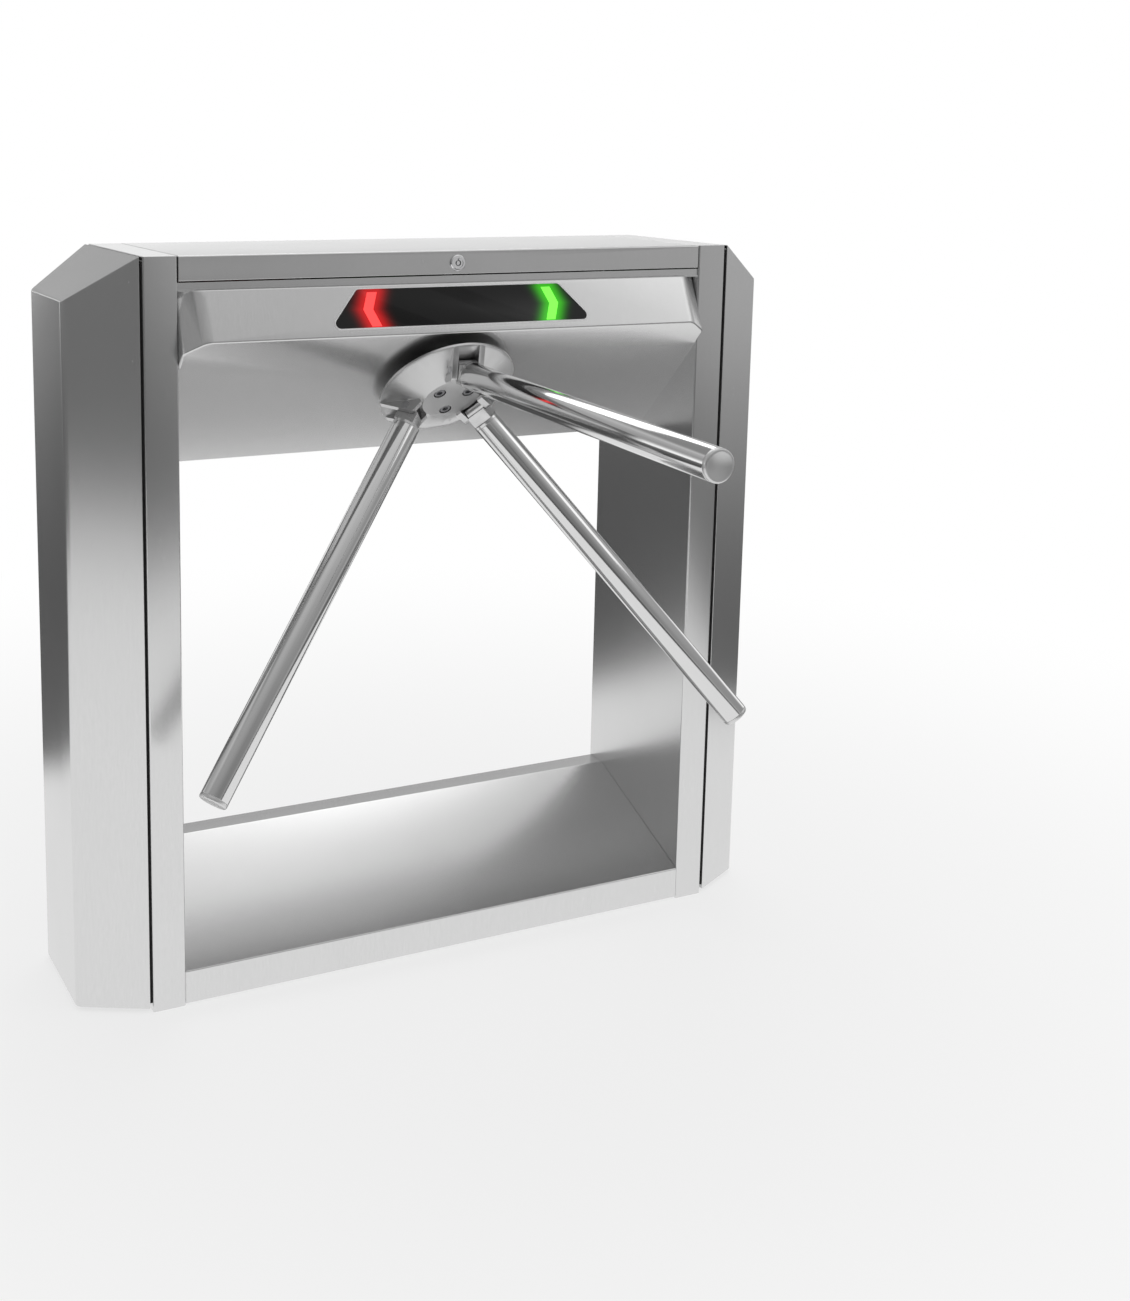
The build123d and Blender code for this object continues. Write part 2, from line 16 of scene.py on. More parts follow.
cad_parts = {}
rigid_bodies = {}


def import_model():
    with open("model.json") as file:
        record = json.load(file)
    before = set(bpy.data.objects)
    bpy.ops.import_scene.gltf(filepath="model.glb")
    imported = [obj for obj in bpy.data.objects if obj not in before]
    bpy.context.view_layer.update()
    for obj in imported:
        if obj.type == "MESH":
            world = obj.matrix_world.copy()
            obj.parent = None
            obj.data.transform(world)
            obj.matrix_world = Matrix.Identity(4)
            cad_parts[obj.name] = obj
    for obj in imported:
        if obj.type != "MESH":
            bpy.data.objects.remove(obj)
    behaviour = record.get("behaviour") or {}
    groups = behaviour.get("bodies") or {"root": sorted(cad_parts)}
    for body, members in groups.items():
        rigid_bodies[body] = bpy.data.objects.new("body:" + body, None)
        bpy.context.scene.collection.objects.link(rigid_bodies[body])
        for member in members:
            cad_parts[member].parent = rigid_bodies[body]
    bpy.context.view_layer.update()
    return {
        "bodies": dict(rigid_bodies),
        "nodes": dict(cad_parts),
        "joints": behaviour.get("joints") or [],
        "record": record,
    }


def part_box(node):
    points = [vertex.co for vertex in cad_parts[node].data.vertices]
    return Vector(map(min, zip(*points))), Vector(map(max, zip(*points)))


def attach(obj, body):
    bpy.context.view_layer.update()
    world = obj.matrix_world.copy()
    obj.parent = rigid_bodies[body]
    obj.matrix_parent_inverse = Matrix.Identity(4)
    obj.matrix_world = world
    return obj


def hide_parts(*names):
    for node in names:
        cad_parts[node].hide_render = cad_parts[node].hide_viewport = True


LOG = logging.getLogger("turnstile")
Socket = bpy.types.NodeSocket
Node = bpy.types.Node
Tree = bpy.types.NodeTree
Material = bpy.types.Material
Mesh = bpy.types.Mesh
Object = bpy.types.Object
Point = tuple[float, float, float]
Colour = tuple[float, float, float]
Opaque = tuple[float, float, float, float]
Profile = Sequence[tuple[float, float]]
FLOAT, VECTOR, WHOLE = "NodeSocketFloat", "NodeSocketVector", "NodeSocketInt"
ALONG = Vector((1.0, 0.0, 0.0))
MM = 0.001
MERGE_DISTANCE = 2e-5
HAIR = 1e-3  # keeps a cross product from vanishing on faces square to its axis


# ---------------------------------------------------------------- node trees
class Graph:
    """A node tree with short calls that add nodes and join them."""

    def __init__(self, tree: Tree) -> None:
        """Wraps a node tree.

        Args:
            tree: The tree that gets the nodes.
        """
        self.tree = tree

    def add(self, kind: str, inputs: Mapping[Any, Any] | None = None, **settings: Any) -> Node:
        """Adds one node.

        Args:
            kind: Blender's name for the node type.
            inputs: Values or sockets for the node's inputs, by name or number.
            **settings: Properties of the node itself.

        Returns:
            The new node.
        """
        node = self.tree.nodes.new(kind)
        for key, value in settings.items():
            setattr(node, key, value)
        for key, value in (inputs or {}).items():
            self.feed(node.inputs[key], value)
        return node

    def feed(self, socket: Socket, value: Any) -> None:
        """Joins a socket to another, or sets its own value.

        Args:
            socket: The input to feed.
            value: An output socket, or a plain value.
        """
        if isinstance(value, Socket):
            self.tree.links.new(value, socket)
        else:
            socket.default_value = value

    def math(self, operation: str, *values: Any, clamp: bool = False) -> Socket:
        """Adds a Math node and returns its result."""
        node = self.add("ShaderNodeMath", dict(enumerate(values)), operation=operation, use_clamp=clamp)
        return node.outputs[0]

    def vector(self, operation: str, *values: Any) -> Socket:
        """Adds a Vector Math node and returns its result, a number for a dot product or a length."""
        node = self.add("ShaderNodeVectorMath", dict(enumerate(values)), operation=operation)
        return node.outputs["Value" if operation in ("DOT_PRODUCT", "LENGTH") else "Vector"]

    def mix(self, factor: Any, first: Any, second: Any, blend: str = "MIX") -> Socket:
        """Mixes two colours.

        Args:
            factor: Share of the second colour.
            first: First colour or socket.
            second: Second colour or socket.
            blend: How the two are mixed.

        Returns:
            The mixed colour.
        """
        node = self.add("ShaderNodeMix", {0: factor, 6: first, 7: second}, data_type="RGBA", blend_type=blend)
        return node.outputs[2]

    def span(self, value: Any, low: float, high: float, to_low: float, to_high: float,
             smooth: bool = False) -> Socket:
        """Maps a value from one range to another, clamped at both ends.

        Args:
            value: The value or its socket.
            low: Start of its range.
            high: End of its range.
            to_low: Result at the start.
            to_high: Result at the end.
            smooth: Whether it eases in and out.

        Returns:
            The mapped value.
        """
        node = self.add("ShaderNodeMapRange", {"Value": value, "From Min": low, "From Max": high,
                                               "To Min": to_low, "To Max": to_high},
                        interpolation_type="SMOOTHSTEP" if smooth else "LINEAR")
        return node.outputs["Result"]

    def ramp(self, value: Any, stops: Sequence[tuple[float, float]]) -> Socket:
        """Maps a value to grey levels through a colour ramp.

        Args:
            value: Socket with the place on the ramp.
            stops: Place and grey level of each stop.

        Returns:
            The ramp's colour.
        """
        node = self.add("ShaderNodeValToRGB", {0: value})
        elements = node.color_ramp.elements
        while len(elements) < len(stops):
            elements.new(0.5)
        for element, (place, level) in zip(elements, stops):
            element.position = place
            element.color = (level, level, level, 1.0)
        return node.outputs["Color"]

    def noise(self, vector: Any, scale: Any, detail: float = 2.0, roughness: float = 0.5,
              distortion: float = 0.0) -> Socket:
        """Adds a Noise Texture and returns its value."""
        return self.add("ShaderNodeTexNoise", {"Vector": vector, "Scale": scale, "Detail": detail,
                                               "Roughness": roughness, "Distortion": distortion}).outputs[0]

    def place(self) -> Socket:
        """Adds the place on the piece, in metres."""
        return self.add("ShaderNodeTexCoord").outputs["Object"]

    def use(self, group: Tree, **inputs: Any) -> Node:
        """Places a shared group with its inputs."""
        return self.add("ShaderNodeGroup", inputs, node_tree=group)

    def bump(self, shader: Node, height: Any, strength: float, distance: float) -> None:
        """Gives a shader's surface a fine relief."""
        relief = self.add("ShaderNodeBump", {"Strength": strength, "Distance": distance, "Height": height})
        self.feed(shader.inputs["Normal"], relief.outputs[0])


def add_inputs(tree: Tree, inputs: Mapping[str, tuple[str, Any]]) -> None:
    """Gives a node tree its named inputs.

    Args:
        tree: The node tree.
        inputs: Socket type and default of each input, by name.
    """
    for label, (kind, default) in inputs.items():
        socket = tree.interface.new_socket(label, in_out="INPUT", socket_type=kind)
        if default is not None:
            socket.default_value = default


def open_group(name: str, inputs: Mapping[str, tuple[str, Any]], outputs: Mapping[str, str]
               ) -> tuple[Tree, Graph, Node, Node]:
    """Starts a shader node group.

    Args:
        name: The group's name.
        inputs: Socket type and default of each input, by name.
        outputs: Socket type of each output, by name.

    Returns:
        The group, its graph, and its input and output nodes.
    """
    group = bpy.data.node_groups.new(name, "ShaderNodeTree")
    add_inputs(group, inputs)
    for label, kind in outputs.items():
        group.interface.new_socket(label, in_out="OUTPUT", socket_type=kind)
    graph = Graph(group)
    return group, graph, graph.add("NodeGroupInput"), graph.add("NodeGroupOutput")


class SharedEffects:
    """Shader groups that more than one finish uses, each built once."""

    def __init__(self) -> None:
        """Builds every group."""
        self.grain = self._grain()
        self.edge = self._edge()
        self.smudge = self._smudge()
        self.halo = self._halo()

    @staticmethod
    def _grain() -> Tree:
        """Fine scratches drawn out along the brushing direction, with some coarser ones among them."""
        coarser, fine_share, coarse_share = 0.31, 0.8, 0.2
        group, g, given, result = open_group(
            "brushed_grain", {"Vector": (VECTOR, None), "Stretch": (VECTOR, (800.0, 800.0, 30.0))},
            {"Streak": FLOAT})
        drawn = g.vector("MULTIPLY", given.outputs["Vector"], given.outputs["Stretch"])
        fine = g.noise(drawn, 1.0, 2.0, 0.6)
        coarse = g.noise(g.vector("MULTIPLY", drawn, (coarser, coarser, coarser)), 1.0, 1.0, 0.5)
        fine, coarse = g.math("MULTIPLY", fine, fine_share), g.math("MULTIPLY", coarse, coarse_share)
        g.feed(result.inputs["Streak"], g.math("ADD", fine, coarse))
        return group

    @staticmethod
    def _edge() -> Tree:
        """Mask of the narrow band along bends and corners, where a painted highlight lightens the metal."""
        group, g, given, result = open_group(
            "painted_edge_highlight", {"Radius": (FLOAT, MM), "Break": (FLOAT, 0.3)}, {"Edge": FLOAT})
        rounded = g.add("ShaderNodeBevel", {"Radius": given.outputs["Radius"]}, samples=4)
        flat = g.add("ShaderNodeNewGeometry").outputs["Normal"]
        turned = g.math("SUBTRACT", 1.0, g.vector("DOT_PRODUCT", rounded.outputs[0], flat))
        mask = g.span(turned, 0.02, 0.22, 0.0, 1.0)
        # the painted highlight is made patchy by noise
        patchy = g.span(g.noise(g.place(), 60.0, 3.0), 0.3, 0.7, 0.0, 1.0)
        uneven = g.math("SUBTRACT", 1.0, g.math("MULTIPLY", patchy, given.outputs["Break"]))
        g.feed(result.inputs["Edge"], g.math("MULTIPLY", mask, uneven, clamp=True))
        return group

    @staticmethod
    def _smudge() -> Tree:
        """Broad, faint unevenness of a wiped metal or plastic surface, and fine specks."""
        group, g, given, result = open_group(
            "wiped_surface", {"Vector": (VECTOR, None), "Scale": (FLOAT, 9.0)},
            {"Smudge": FLOAT, "Speck": FLOAT})
        vector = given.outputs["Vector"]
        broad = g.noise(vector, given.outputs["Scale"], 4.0, distortion=0.6)
        g.feed(result.inputs["Smudge"], g.span(broad, 0.35, 0.7, 0.0, 1.0, smooth=True))
        speck = g.noise(vector, 900.0, 1.0)
        g.feed(result.inputs["Speck"], g.span(speck, 0.55, 0.75, 0.0, 1.0))
        return group

    @staticmethod
    def _halo() -> Tree:
        """Glow round one lit arrow, fading with the distance from its bent stroke."""
        point, reach, slope = 0.139, 0.0235, 0.383
        slant_cosine, half_width, stroke_end = 0.934, 0.006, 0.0225
        group, g, given, result = open_group(
            "arrow_halo", {"Across": (FLOAT, 0.0), "Up": (FLOAT, 0.0), "Spread": (FLOAT, 0.006)},
            {"Glow": FLOAT})
        arm = g.math("ABSOLUTE", given.outputs["Up"])
        stroke = g.math("SUBTRACT", point, g.math("MULTIPLY", g.math("MINIMUM", arm, reach), slope))
        beside = g.math("ABSOLUTE", g.math("SUBTRACT", given.outputs["Across"], stroke))
        beside = g.math("SUBTRACT", g.math("MULTIPLY", beside, slant_cosine), half_width)
        beside = g.math("MAXIMUM", beside, 0.0)
        past = g.math("MAXIMUM", g.math("SUBTRACT", arm, stroke_end), 0.0)
        squares = g.math("ADD", g.math("MULTIPLY", beside, beside), g.math("MULTIPLY", past, past))
        fade = g.math("DIVIDE", g.math("SQRT", squares), given.outputs["Spread"])
        fall = g.math("MULTIPLY", g.math("MULTIPLY", fade, fade), -1.0)
        g.feed(result.inputs["Glow"], g.math("EXPONENT", fall))
        return group


def new_material(name: str) -> tuple[Material, Graph, Node]:
    """Makes an empty material.

    Args:
        name: The material's name.

    Returns:
        The material, its graph and its Principled shader.
    """
    material = bpy.data.materials.new(name)
    material.use_nodes = True
    material.node_tree.nodes.clear()
    graph = Graph(material.node_tree)
    shader = graph.add("ShaderNodeBsdfPrincipled")
    graph.add("ShaderNodeOutputMaterial", {"Surface": shader.outputs[0]})
    return material, graph, shader


def grey(level: float) -> Opaque:
    """A neutral colour."""
    return (level, level, level, 1.0)


def opaque(colour: Colour, share: float = 1.0, lift: float = 0.0) -> Opaque:
    """A colour made darker or paler, with full alpha."""
    red, green, blue = (min(1.0, part * share + lift) for part in colour)
    return (red, green, blue, 1.0)


class GrainRun(Enum):
    """Which way the brushing runs on a sheet."""

    UPRIGHT = (1500.0, 1500.0, 90.0)
    OVER_THE_FOLDS = (1500.0, 90.0, 90.0)


@dataclass(frozen=True)
class BrushedSteel:
    """Brushed stainless sheet, with reflections drawn out across the grain."""

    name: str
    run: GrainRun
    level: float = 0.66
    roughness: float = 0.25
    anisotropy: float = 0.7
    grain: float = 0.035
    wiped_scale: float = 7.0
    highlight_width: float = 1.2 * MM
    highlight_level: float = 0.92

    def build(self, effects: SharedEffects) -> Material:
        """Makes the material.

        Args:
            effects: The shared shader groups.

        Returns:
            The material.
        """
        material, g, shader = new_material(self.name)
        place = g.add("ShaderNodeTexCoord")
        grain = g.use(effects.grain, Vector=place.outputs["Object"], Stretch=self.run.value)
        wiped = g.use(effects.smudge, Vector=place.outputs["Object"], Scale=self.wiped_scale)
        edge = g.use(effects.edge, Radius=self.highlight_width)
        streak = g.span(grain.outputs["Streak"], 0.3, 0.7, 0.0, 1.0)
        tone = g.mix(streak, grey(self.level * (1.0 - self.grain)), grey(self.level * (1.0 + self.grain)))
        tone = g.mix(g.math("MULTIPLY", wiped.outputs["Smudge"], 0.05), tone, grey(self.level * 0.85))
        # painted highlight: the edge band is lightened towards a pale grey
        tone = g.mix(g.math("MULTIPLY", edge.outputs["Edge"], 0.9), tone, grey(self.highlight_level))
        g.feed(shader.inputs["Base Color"], tone)
        shader.inputs["Metallic"].default_value = 1.0
        rough = g.span(streak, 0.0, 1.0, self.roughness - 0.01, self.roughness + 0.015)
        rough = g.math("ADD", rough, g.math("MULTIPLY", wiped.outputs["Smudge"], 0.01))
        g.feed(shader.inputs["Roughness"], rough)
        shader.inputs["Anisotropic"].default_value = self.anisotropy
        g.feed(shader.inputs["Tangent"], self._across(g, place.outputs["Normal"]))
        g.bump(shader, grain.outputs["Streak"], 0.02, 0.1 * MM)
        return material

    def _across(self, g: Graph, normal: Socket) -> Socket:
        """The direction square to the grain, in which reflections are drawn out.

        Args:
            g: The material's graph.
            normal: The surface's normal, in the piece's own frame.

        Returns:
            The direction, in the world's frame.
        """
        if self.run is GrainRun.UPRIGHT:
            side = g.vector("CROSS_PRODUCT", normal, (0.0, 0.0, 1.0))
            side = g.vector("ADD", side, (HAIR, 0.0, 0.0))
        else:
            side = g.vector("ADD", g.vector("MULTIPLY", normal, (0.0, HAIR, HAIR)), (1.0, HAIR, 0.0))
        turn = g.add("ShaderNodeVectorTransform", {0: side}, vector_type="VECTOR", convert_from="OBJECT",
                     convert_to="WORLD")
        return turn.outputs[0]


@dataclass(frozen=True)
class PlainMetal:
    """Metal without a brushing direction: cast, turned, plated or polished."""

    name: str
    colour: Colour
    roughness: float
    speckle: float = 0.05
    bump: float = 0.05
    bump_scale: float = 1400.0
    highlight_colour: Colour = (0.85, 0.85, 0.85)
    highlight_share: float = 0.5
    metallic: float = 1.0
    wiped_scale: float = 14.0
    highlight_width: float = 0.9 * MM

    def build(self, effects: SharedEffects) -> Material:
        """Makes the material.

        Args:
            effects: The shared shader groups.

        Returns:
            The material.
        """
        material, g, shader = new_material(self.name)
        place = g.place()
        wiped = g.use(effects.smudge, Vector=place, Scale=self.wiped_scale).outputs["Smudge"]
        edge = g.use(effects.edge, Radius=self.highlight_width).outputs["Edge"]
        fine = g.noise(place, self.bump_scale, 3.0, 0.6)
        tone = g.mix(fine, opaque(self.colour, 1.0 - self.speckle), opaque(self.colour, 1.0 + self.speckle))
        tone = g.mix(g.math("MULTIPLY", wiped, 0.1), tone, opaque(self.colour, 0.8))
        # painted highlight: the edge band is mixed towards a pale colour
        if self.highlight_share:
            tone = g.mix(g.math("MULTIPLY", edge, self.highlight_share), tone, opaque(self.highlight_colour))
        g.feed(shader.inputs["Base Color"], tone)
        shader.inputs["Metallic"].default_value = self.metallic
        g.feed(shader.inputs["Roughness"], g.span(wiped, 0.0, 1.0, self.roughness, self.roughness * 1.25))
        if self.bump:
            g.bump(shader, fine, self.bump, 0.12 * MM)
        return material


@dataclass(frozen=True)
class Moulded:
    """Plastic, rubber or lacquered board."""

    name: str
    colour: Colour
    roughness: float
    texture_scale: float = 700.0
    bump: float = 0.15
    coat: float = 0.0
    coat_roughness: float = 0.04
    wiped_scale: float = 20.0

    def build(self, effects: SharedEffects) -> Material:
        """Makes the material.

        Args:
            effects: The shared shader groups.

        Returns:
            The material.
        """
        material, g, shader = new_material(self.name)
        place = g.place()
        wiped = g.use(effects.smudge, Vector=place, Scale=self.wiped_scale)
        pale = opaque(self.colour, 1.3, 0.012)
        tone = g.mix(g.math("MULTIPLY", wiped.outputs["Smudge"], 0.4), opaque(self.colour), pale)
        tone = g.mix(g.math("MULTIPLY", wiped.outputs["Speck"], 0.15), tone, pale)
        g.feed(shader.inputs["Base Color"], tone)
        dull = min(1.0, self.roughness + 0.1)
        g.feed(shader.inputs["Roughness"], g.span(wiped.outputs["Smudge"], 0.0, 1.0, self.roughness, dull))
        shader.inputs["Coat Weight"].default_value = self.coat
        shader.inputs["Coat Roughness"].default_value = self.coat_roughness
        g.bump(shader, g.noise(place, self.texture_scale, 2.0), self.bump, 0.1 * MM)
        return material


@dataclass(frozen=True)
class LitLens:
    """Translucent arrow lit from behind, brighter along its middle."""

    name: str
    glow: Colour
    base: Colour
    side: float
    spread: float = 4 * MM

    def build(self, effects: SharedEffects, window: DisplayWindow) -> Material:
        """Makes the material.

        Args:
            effects: The shared shader groups.
            window: The display, which knows where the arrows lie.

        Returns:
            The material.
        """
        material, g, shader = new_material(self.name)
        across, up = window.coordinates(g)
        halo = g.use(effects.halo, Across=g.math("MULTIPLY", across, self.side), Up=up, Spread=self.spread)
        dots = g.noise(g.place(), 500.0, 1.0)
        dim = opaque(self.glow, 0.86)
        tone = g.mix(halo.outputs["Glow"], dim, opaque(self.glow))
        tone = g.mix(g.math("MULTIPLY", dots, 0.1), tone, dim)
        g.feed(shader.inputs["Emission Color"], tone)
        shader.inputs["Emission Strength"].default_value = 1.0
        g.feed(shader.inputs["Base Color"], g.mix(dots, opaque(self.base), opaque(self.base, 0.8)))
        shader.inputs["Roughness"].default_value = 0.35
        return material


@dataclass(frozen=True)
class SmokedGlass:
    """Gloss black display window with the arrows' glow on it and faint slanting bands behind it."""

    name: str
    band_slant: float = 0.42
    bands_per_metre: float = 95.0 / (2.0 * math.pi)
    halo_spread: float = 11 * MM
    halo_share: float = 0.62

    def build(self, effects: SharedEffects, window: DisplayWindow, lenses: Sequence[LitLens]) -> Material:
        """Makes the material.

        Args:
            effects: The shared shader groups.
            window: The display, which knows where the arrows lie.
            lenses: The lit arrows.

        Returns:
            The material.
        """
        material, g, shader = new_material(self.name)
        across, up = window.coordinates(g)
        slant = g.math("ADD", g.math("MULTIPLY", across, self.band_slant), up)
        wave = g.math("SINE", g.math("MULTIPLY", slant, 2.0 * math.pi * self.bands_per_metre))
        band = g.span(wave, 0.35, 0.75, 0.0, 1.0, smooth=True)
        wiped = g.use(effects.smudge, Vector=g.place()).outputs["Smudge"]
        tone = g.mix(band, grey(0.0135), grey(0.0065))
        tone = g.mix(g.math("MULTIPLY", wiped, 0.2), tone, grey(0.02))
        g.feed(shader.inputs["Base Color"], tone)
        g.feed(shader.inputs["Roughness"], g.span(wiped, 0.0, 1.0, 0.16, 0.24))
        shader.inputs["Specular IOR Level"].default_value = 0.25
        glow = grey(0.0)
        for lens in lenses:
            halo = g.use(effects.halo, Across=g.math("MULTIPLY", across, lens.side), Up=up,
                         Spread=self.halo_spread)
            glow = g.mix(g.math("MULTIPLY", halo.outputs["Glow"], self.halo_share), glow, opaque(lens.base))
        g.feed(shader.inputs["Emission Color"], glow)
        shader.inputs["Emission Strength"].default_value = 1.0
        return material


# ---------------------------------------------------------------- meshes
def finished(obj: Object, body: str, replaces: Iterable[str] = ()) -> Object:
    """Hands a piece to the frame.

    Args:
        obj: The piece, in its place.
        body: The body that it rides on.
        replaces: CAD nodes that it stands for.

    Returns:
        The piece.
    """
    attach(obj, body)
    nodes = list(replaces)
    if nodes:
        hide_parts(*nodes)
    LOG.info("%s rides on %s", obj.name, body)
    return obj


def new_object(name: str, mesh: Mesh, material: Material) -> Object:
    """Links a mesh into the scene as an object at the origin.

    Args:
        name: The object's name.
        mesh: Its mesh, already in place.
        material: Its one material.

    Returns:
        The object.
    """
    mesh.materials.clear()
    mesh.materials.append(material)
    obj = bpy.data.objects.new(name, mesh)
    bpy.context.scene.collection.objects.link(obj)
    return obj


def smooth_by_angle(mesh: Mesh, degrees: float = 32.0) -> None:
    """Shades a mesh smooth except where two faces meet at more than an angle."""
    mesh.shade_smooth()
    mesh.set_sharp_from_angle(angle=math.radians(degrees))


def baked(obj: Object) -> Object:
    """Turns an object's modifiers into plain mesh.

    Args:
        obj: The object, which keeps its name and place.

    Returns:
        The same object.
    """
    graph = bpy.context.evaluated_depsgraph_get()
    mesh = bpy.data.meshes.new_from_object(obj.evaluated_get(graph), depsgraph=graph)
    obj.modifiers.clear()
    obj.data = mesh
    return obj


def mesh_from(bm: bmesh.types.BMesh, name: str) -> Mesh:
    """Writes a bmesh to a new mesh and frees it.

    Args:
        bm: The bmesh.
        name: The mesh's name.

    Returns:
        The mesh.
    """
    mesh = bpy.data.meshes.new(name)
    bm.to_mesh(mesh)
    bm.free()
    return mesh


def lathe(name: str, profile: Profile, place: Matrix, segments: int = 96) -> Mesh:
    """Turns a closed profile about a frame's Z axis.

    Args:
        name: The mesh's name.
        profile: Radius and height of each corner, in metres. Corners at radius 0 become poles.
        place: The frame, as a matrix.
        segments: Steps round the axis.

    Returns:
        A closed mesh whose faces point outwards.
    """
    bm = bmesh.new()
    rings: list[list[bmesh.types.BMVert]] = []
    for radius, height in profile:
        if radius < 1e-7:
            rings.append([bm.verts.new((0.0, 0.0, height))])
        else:
            turns = (2.0 * math.pi * k / segments for k in range(segments))
            rings.append([bm.verts.new((radius * math.cos(t), radius * math.sin(t), height)) for t in turns])
    for here, there in zip(rings, rings[1:] + rings[:1]):
        if len(here) == 1 and len(there) == 1:
            continue
        for k in range(segments):
            after = (k + 1) % segments
            near = [here[k % len(here)], here[after % len(here)]]
            far = [there[after % len(there)], there[k % len(there)]]
            bm.faces.new(list(dict.fromkeys(near + far)))
    bmesh.ops.recalc_face_normals(bm, faces=bm.faces)
    bm.transform(place)
    mesh = mesh_from(bm, name)
    smooth_by_angle(mesh)
    return mesh


def bead(name: str, points: Sequence[Vector], half_width: float, place: Matrix, sides: int = 10) -> Mesh:
    """Runs a round section along a closed flat path.

    Args:
        name: The mesh's name.
        points: The path, in the XY plane of its frame.
        half_width: Radius of the section.
        place: The frame, as a matrix.
        sides: Steps round the section.

    Returns:
        A closed mesh whose faces point outwards.
    """
    bm = bmesh.new()
    rings = []
    for k, here in enumerate(points):
        along = (points[(k + 1) % len(points)] - points[k - 1]).normalized()
        out = Vector((along.y, -along.x, 0.0))
        turns = (2.0 * math.pi * j / sides for j in range(sides))
        rings.append([bm.verts.new(here + half_width * (math.cos(t) * out + Vector((0.0, 0.0, math.sin(t)))))
                      for t in turns])
    for here, there in zip(rings, rings[1:] + rings[:1]):
        for j in range(sides):
            after = (j + 1) % sides
            bm.faces.new((here[j], here[after], there[after], there[j]))
    bmesh.ops.recalc_face_normals(bm, faces=bm.faces)
    bm.transform(place)
    mesh = mesh_from(bm, name)
    mesh.shade_smooth()
    return mesh


@dataclass
class Workshop:
    """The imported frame, the finishes, and the ways that pieces are made from them."""

    FLAT_WITHIN = math.radians(0.6)

    frame: dict[str, Any]
    finishes: dict[str, Material]
    record_slots: dict[str, str] = field(init=False)
    body_of: dict[str, str] = field(init=False)

    def __post_init__(self) -> None:
        """Reads each node's body and slot from the record."""
        record = self.frame["record"]
        self.record_slots = {part["node"]: part["material_slot"] for part in record["subparts"]}
        self.body_of = {node: body for body, nodes in record["behaviour"]["bodies"].items() for node in nodes}

    def rounded(self, node: str, finish: str, width: float, segments: int = 3, angle: float = 30.0,
                name: str | None = None) -> Object:
        """Stands a copy with rounded edges in for a CAD node.

        Args:
            node: The CAD node.
            finish: Name of its finish.
            width: Width of the rounding, in metres.
            segments: Steps across the rounding.
            angle: Edges sharper than this are rounded, in degrees.
            name: The piece's name, or the node's with an ending.

        Returns:
            The new piece.
        """
        bm = bmesh.new()
        bm.from_mesh(self.frame["nodes"][node].data)
        bmesh.ops.remove_doubles(bm, verts=bm.verts, dist=MERGE_DISTANCE)
        bmesh.ops.dissolve_degenerate(bm, edges=bm.edges, dist=MERGE_DISTANCE)
        bmesh.ops.dissolve_limit(bm, angle_limit=self.FLAT_WITHIN, verts=bm.verts, edges=bm.edges)
        mesh = mesh_from(bm, node + "_rounded")
        obj = new_object(name or node + "_finished", mesh, self.finishes[finish])
        smooth_by_angle(mesh)
        bevel = obj.modifiers.new("rounding", "BEVEL")
        bevel.width = width
        bevel.segments = segments
        bevel.limit_method = "ANGLE"
        bevel.angle_limit = math.radians(angle)
        bevel.use_clamp_overlap = True
        bevel.miter_outer = "MITER_ARC"
        bevel.harden_normals = True
        baked(obj)
        return finished(obj, self.body_of[node], [node])

    def dress(self, node: str, finish: str) -> None:
        """Gives a CAD node that keeps its shape a finish of its own.

        Args:
            node: The CAD node.
            finish: Name of its finish.
        """
        obj = self.frame["nodes"][node]
        obj.data.materials.clear()
        obj.data.materials.append(self.finishes[finish])

    def turned(self, name: str, node: str, finish: str, profile: Profile, place: Matrix) -> Object:
        """Stands a turned piece in for a CAD node.

        Args:
            name: The piece's name.
            node: The CAD node.
            finish: Name of its finish.
            profile: Radius and height of each corner, in metres.
            place: Frame whose Z axis is the turning axis.

        Returns:
            The new piece.
        """
        obj = new_object(name, lathe(name, profile, place), self.finishes[finish])
        return finished(obj, self.body_of[node], [node])


def axis_frame(origin: Vector, z_axis: Vector, x_axis: Vector) -> Matrix:
    """A right-handed frame from its origin and two directions.

    Args:
        origin: Where the frame stands.
        z_axis: Its Z axis.
        x_axis: Roughly its X axis.

    Returns:
        The frame, as a matrix.
    """
    z = z_axis.normalized()
    y = z.cross(x_axis).normalized()
    x = y.cross(z)
    frame = Matrix((x, y, z)).transposed().to_4x4()
    frame.translation = origin
    return frame


def rounded_corner(radius: float, centre: tuple[float, float], start: float, end: float,
                   steps: int = 6) -> list[tuple[float, float]]:
    """Points of an arc in a profile, from one angle to another, in degrees."""
    angles = (math.radians(start + (end - start) * k / steps) for k in range(steps + 1))
    return [(centre[0] + radius * math.cos(a), centre[1] + radius * math.sin(a)) for a in angles]


# ---------------------------------------------------------------- sub-assemblies
@dataclass
class SheetBody:
    """Posts, end covers, seams, head, lid and low beam, all folded from sheet."""

    shop: Workshop
    edge: float = 0.95 * MM

    def build(self) -> None:
        """Makes every sheet piece."""
        for side in ("left", "right"):
            self.shop.rounded(f"post_frame_{side}", "upright_steel", self.edge)
            self.shop.rounded(f"end_cover_{side}", "upright_steel", self.edge)
            self.shop.dress(f"seam_seals_{side}", "seal_rubber")
            self.shop.dress(f"base_plate_{side}", "zinc_plate")
        for node in ("front_shell", "rear_panel", "trough_cover", "lid"):
            self.shop.rounded(node, "head_steel", self.edge)


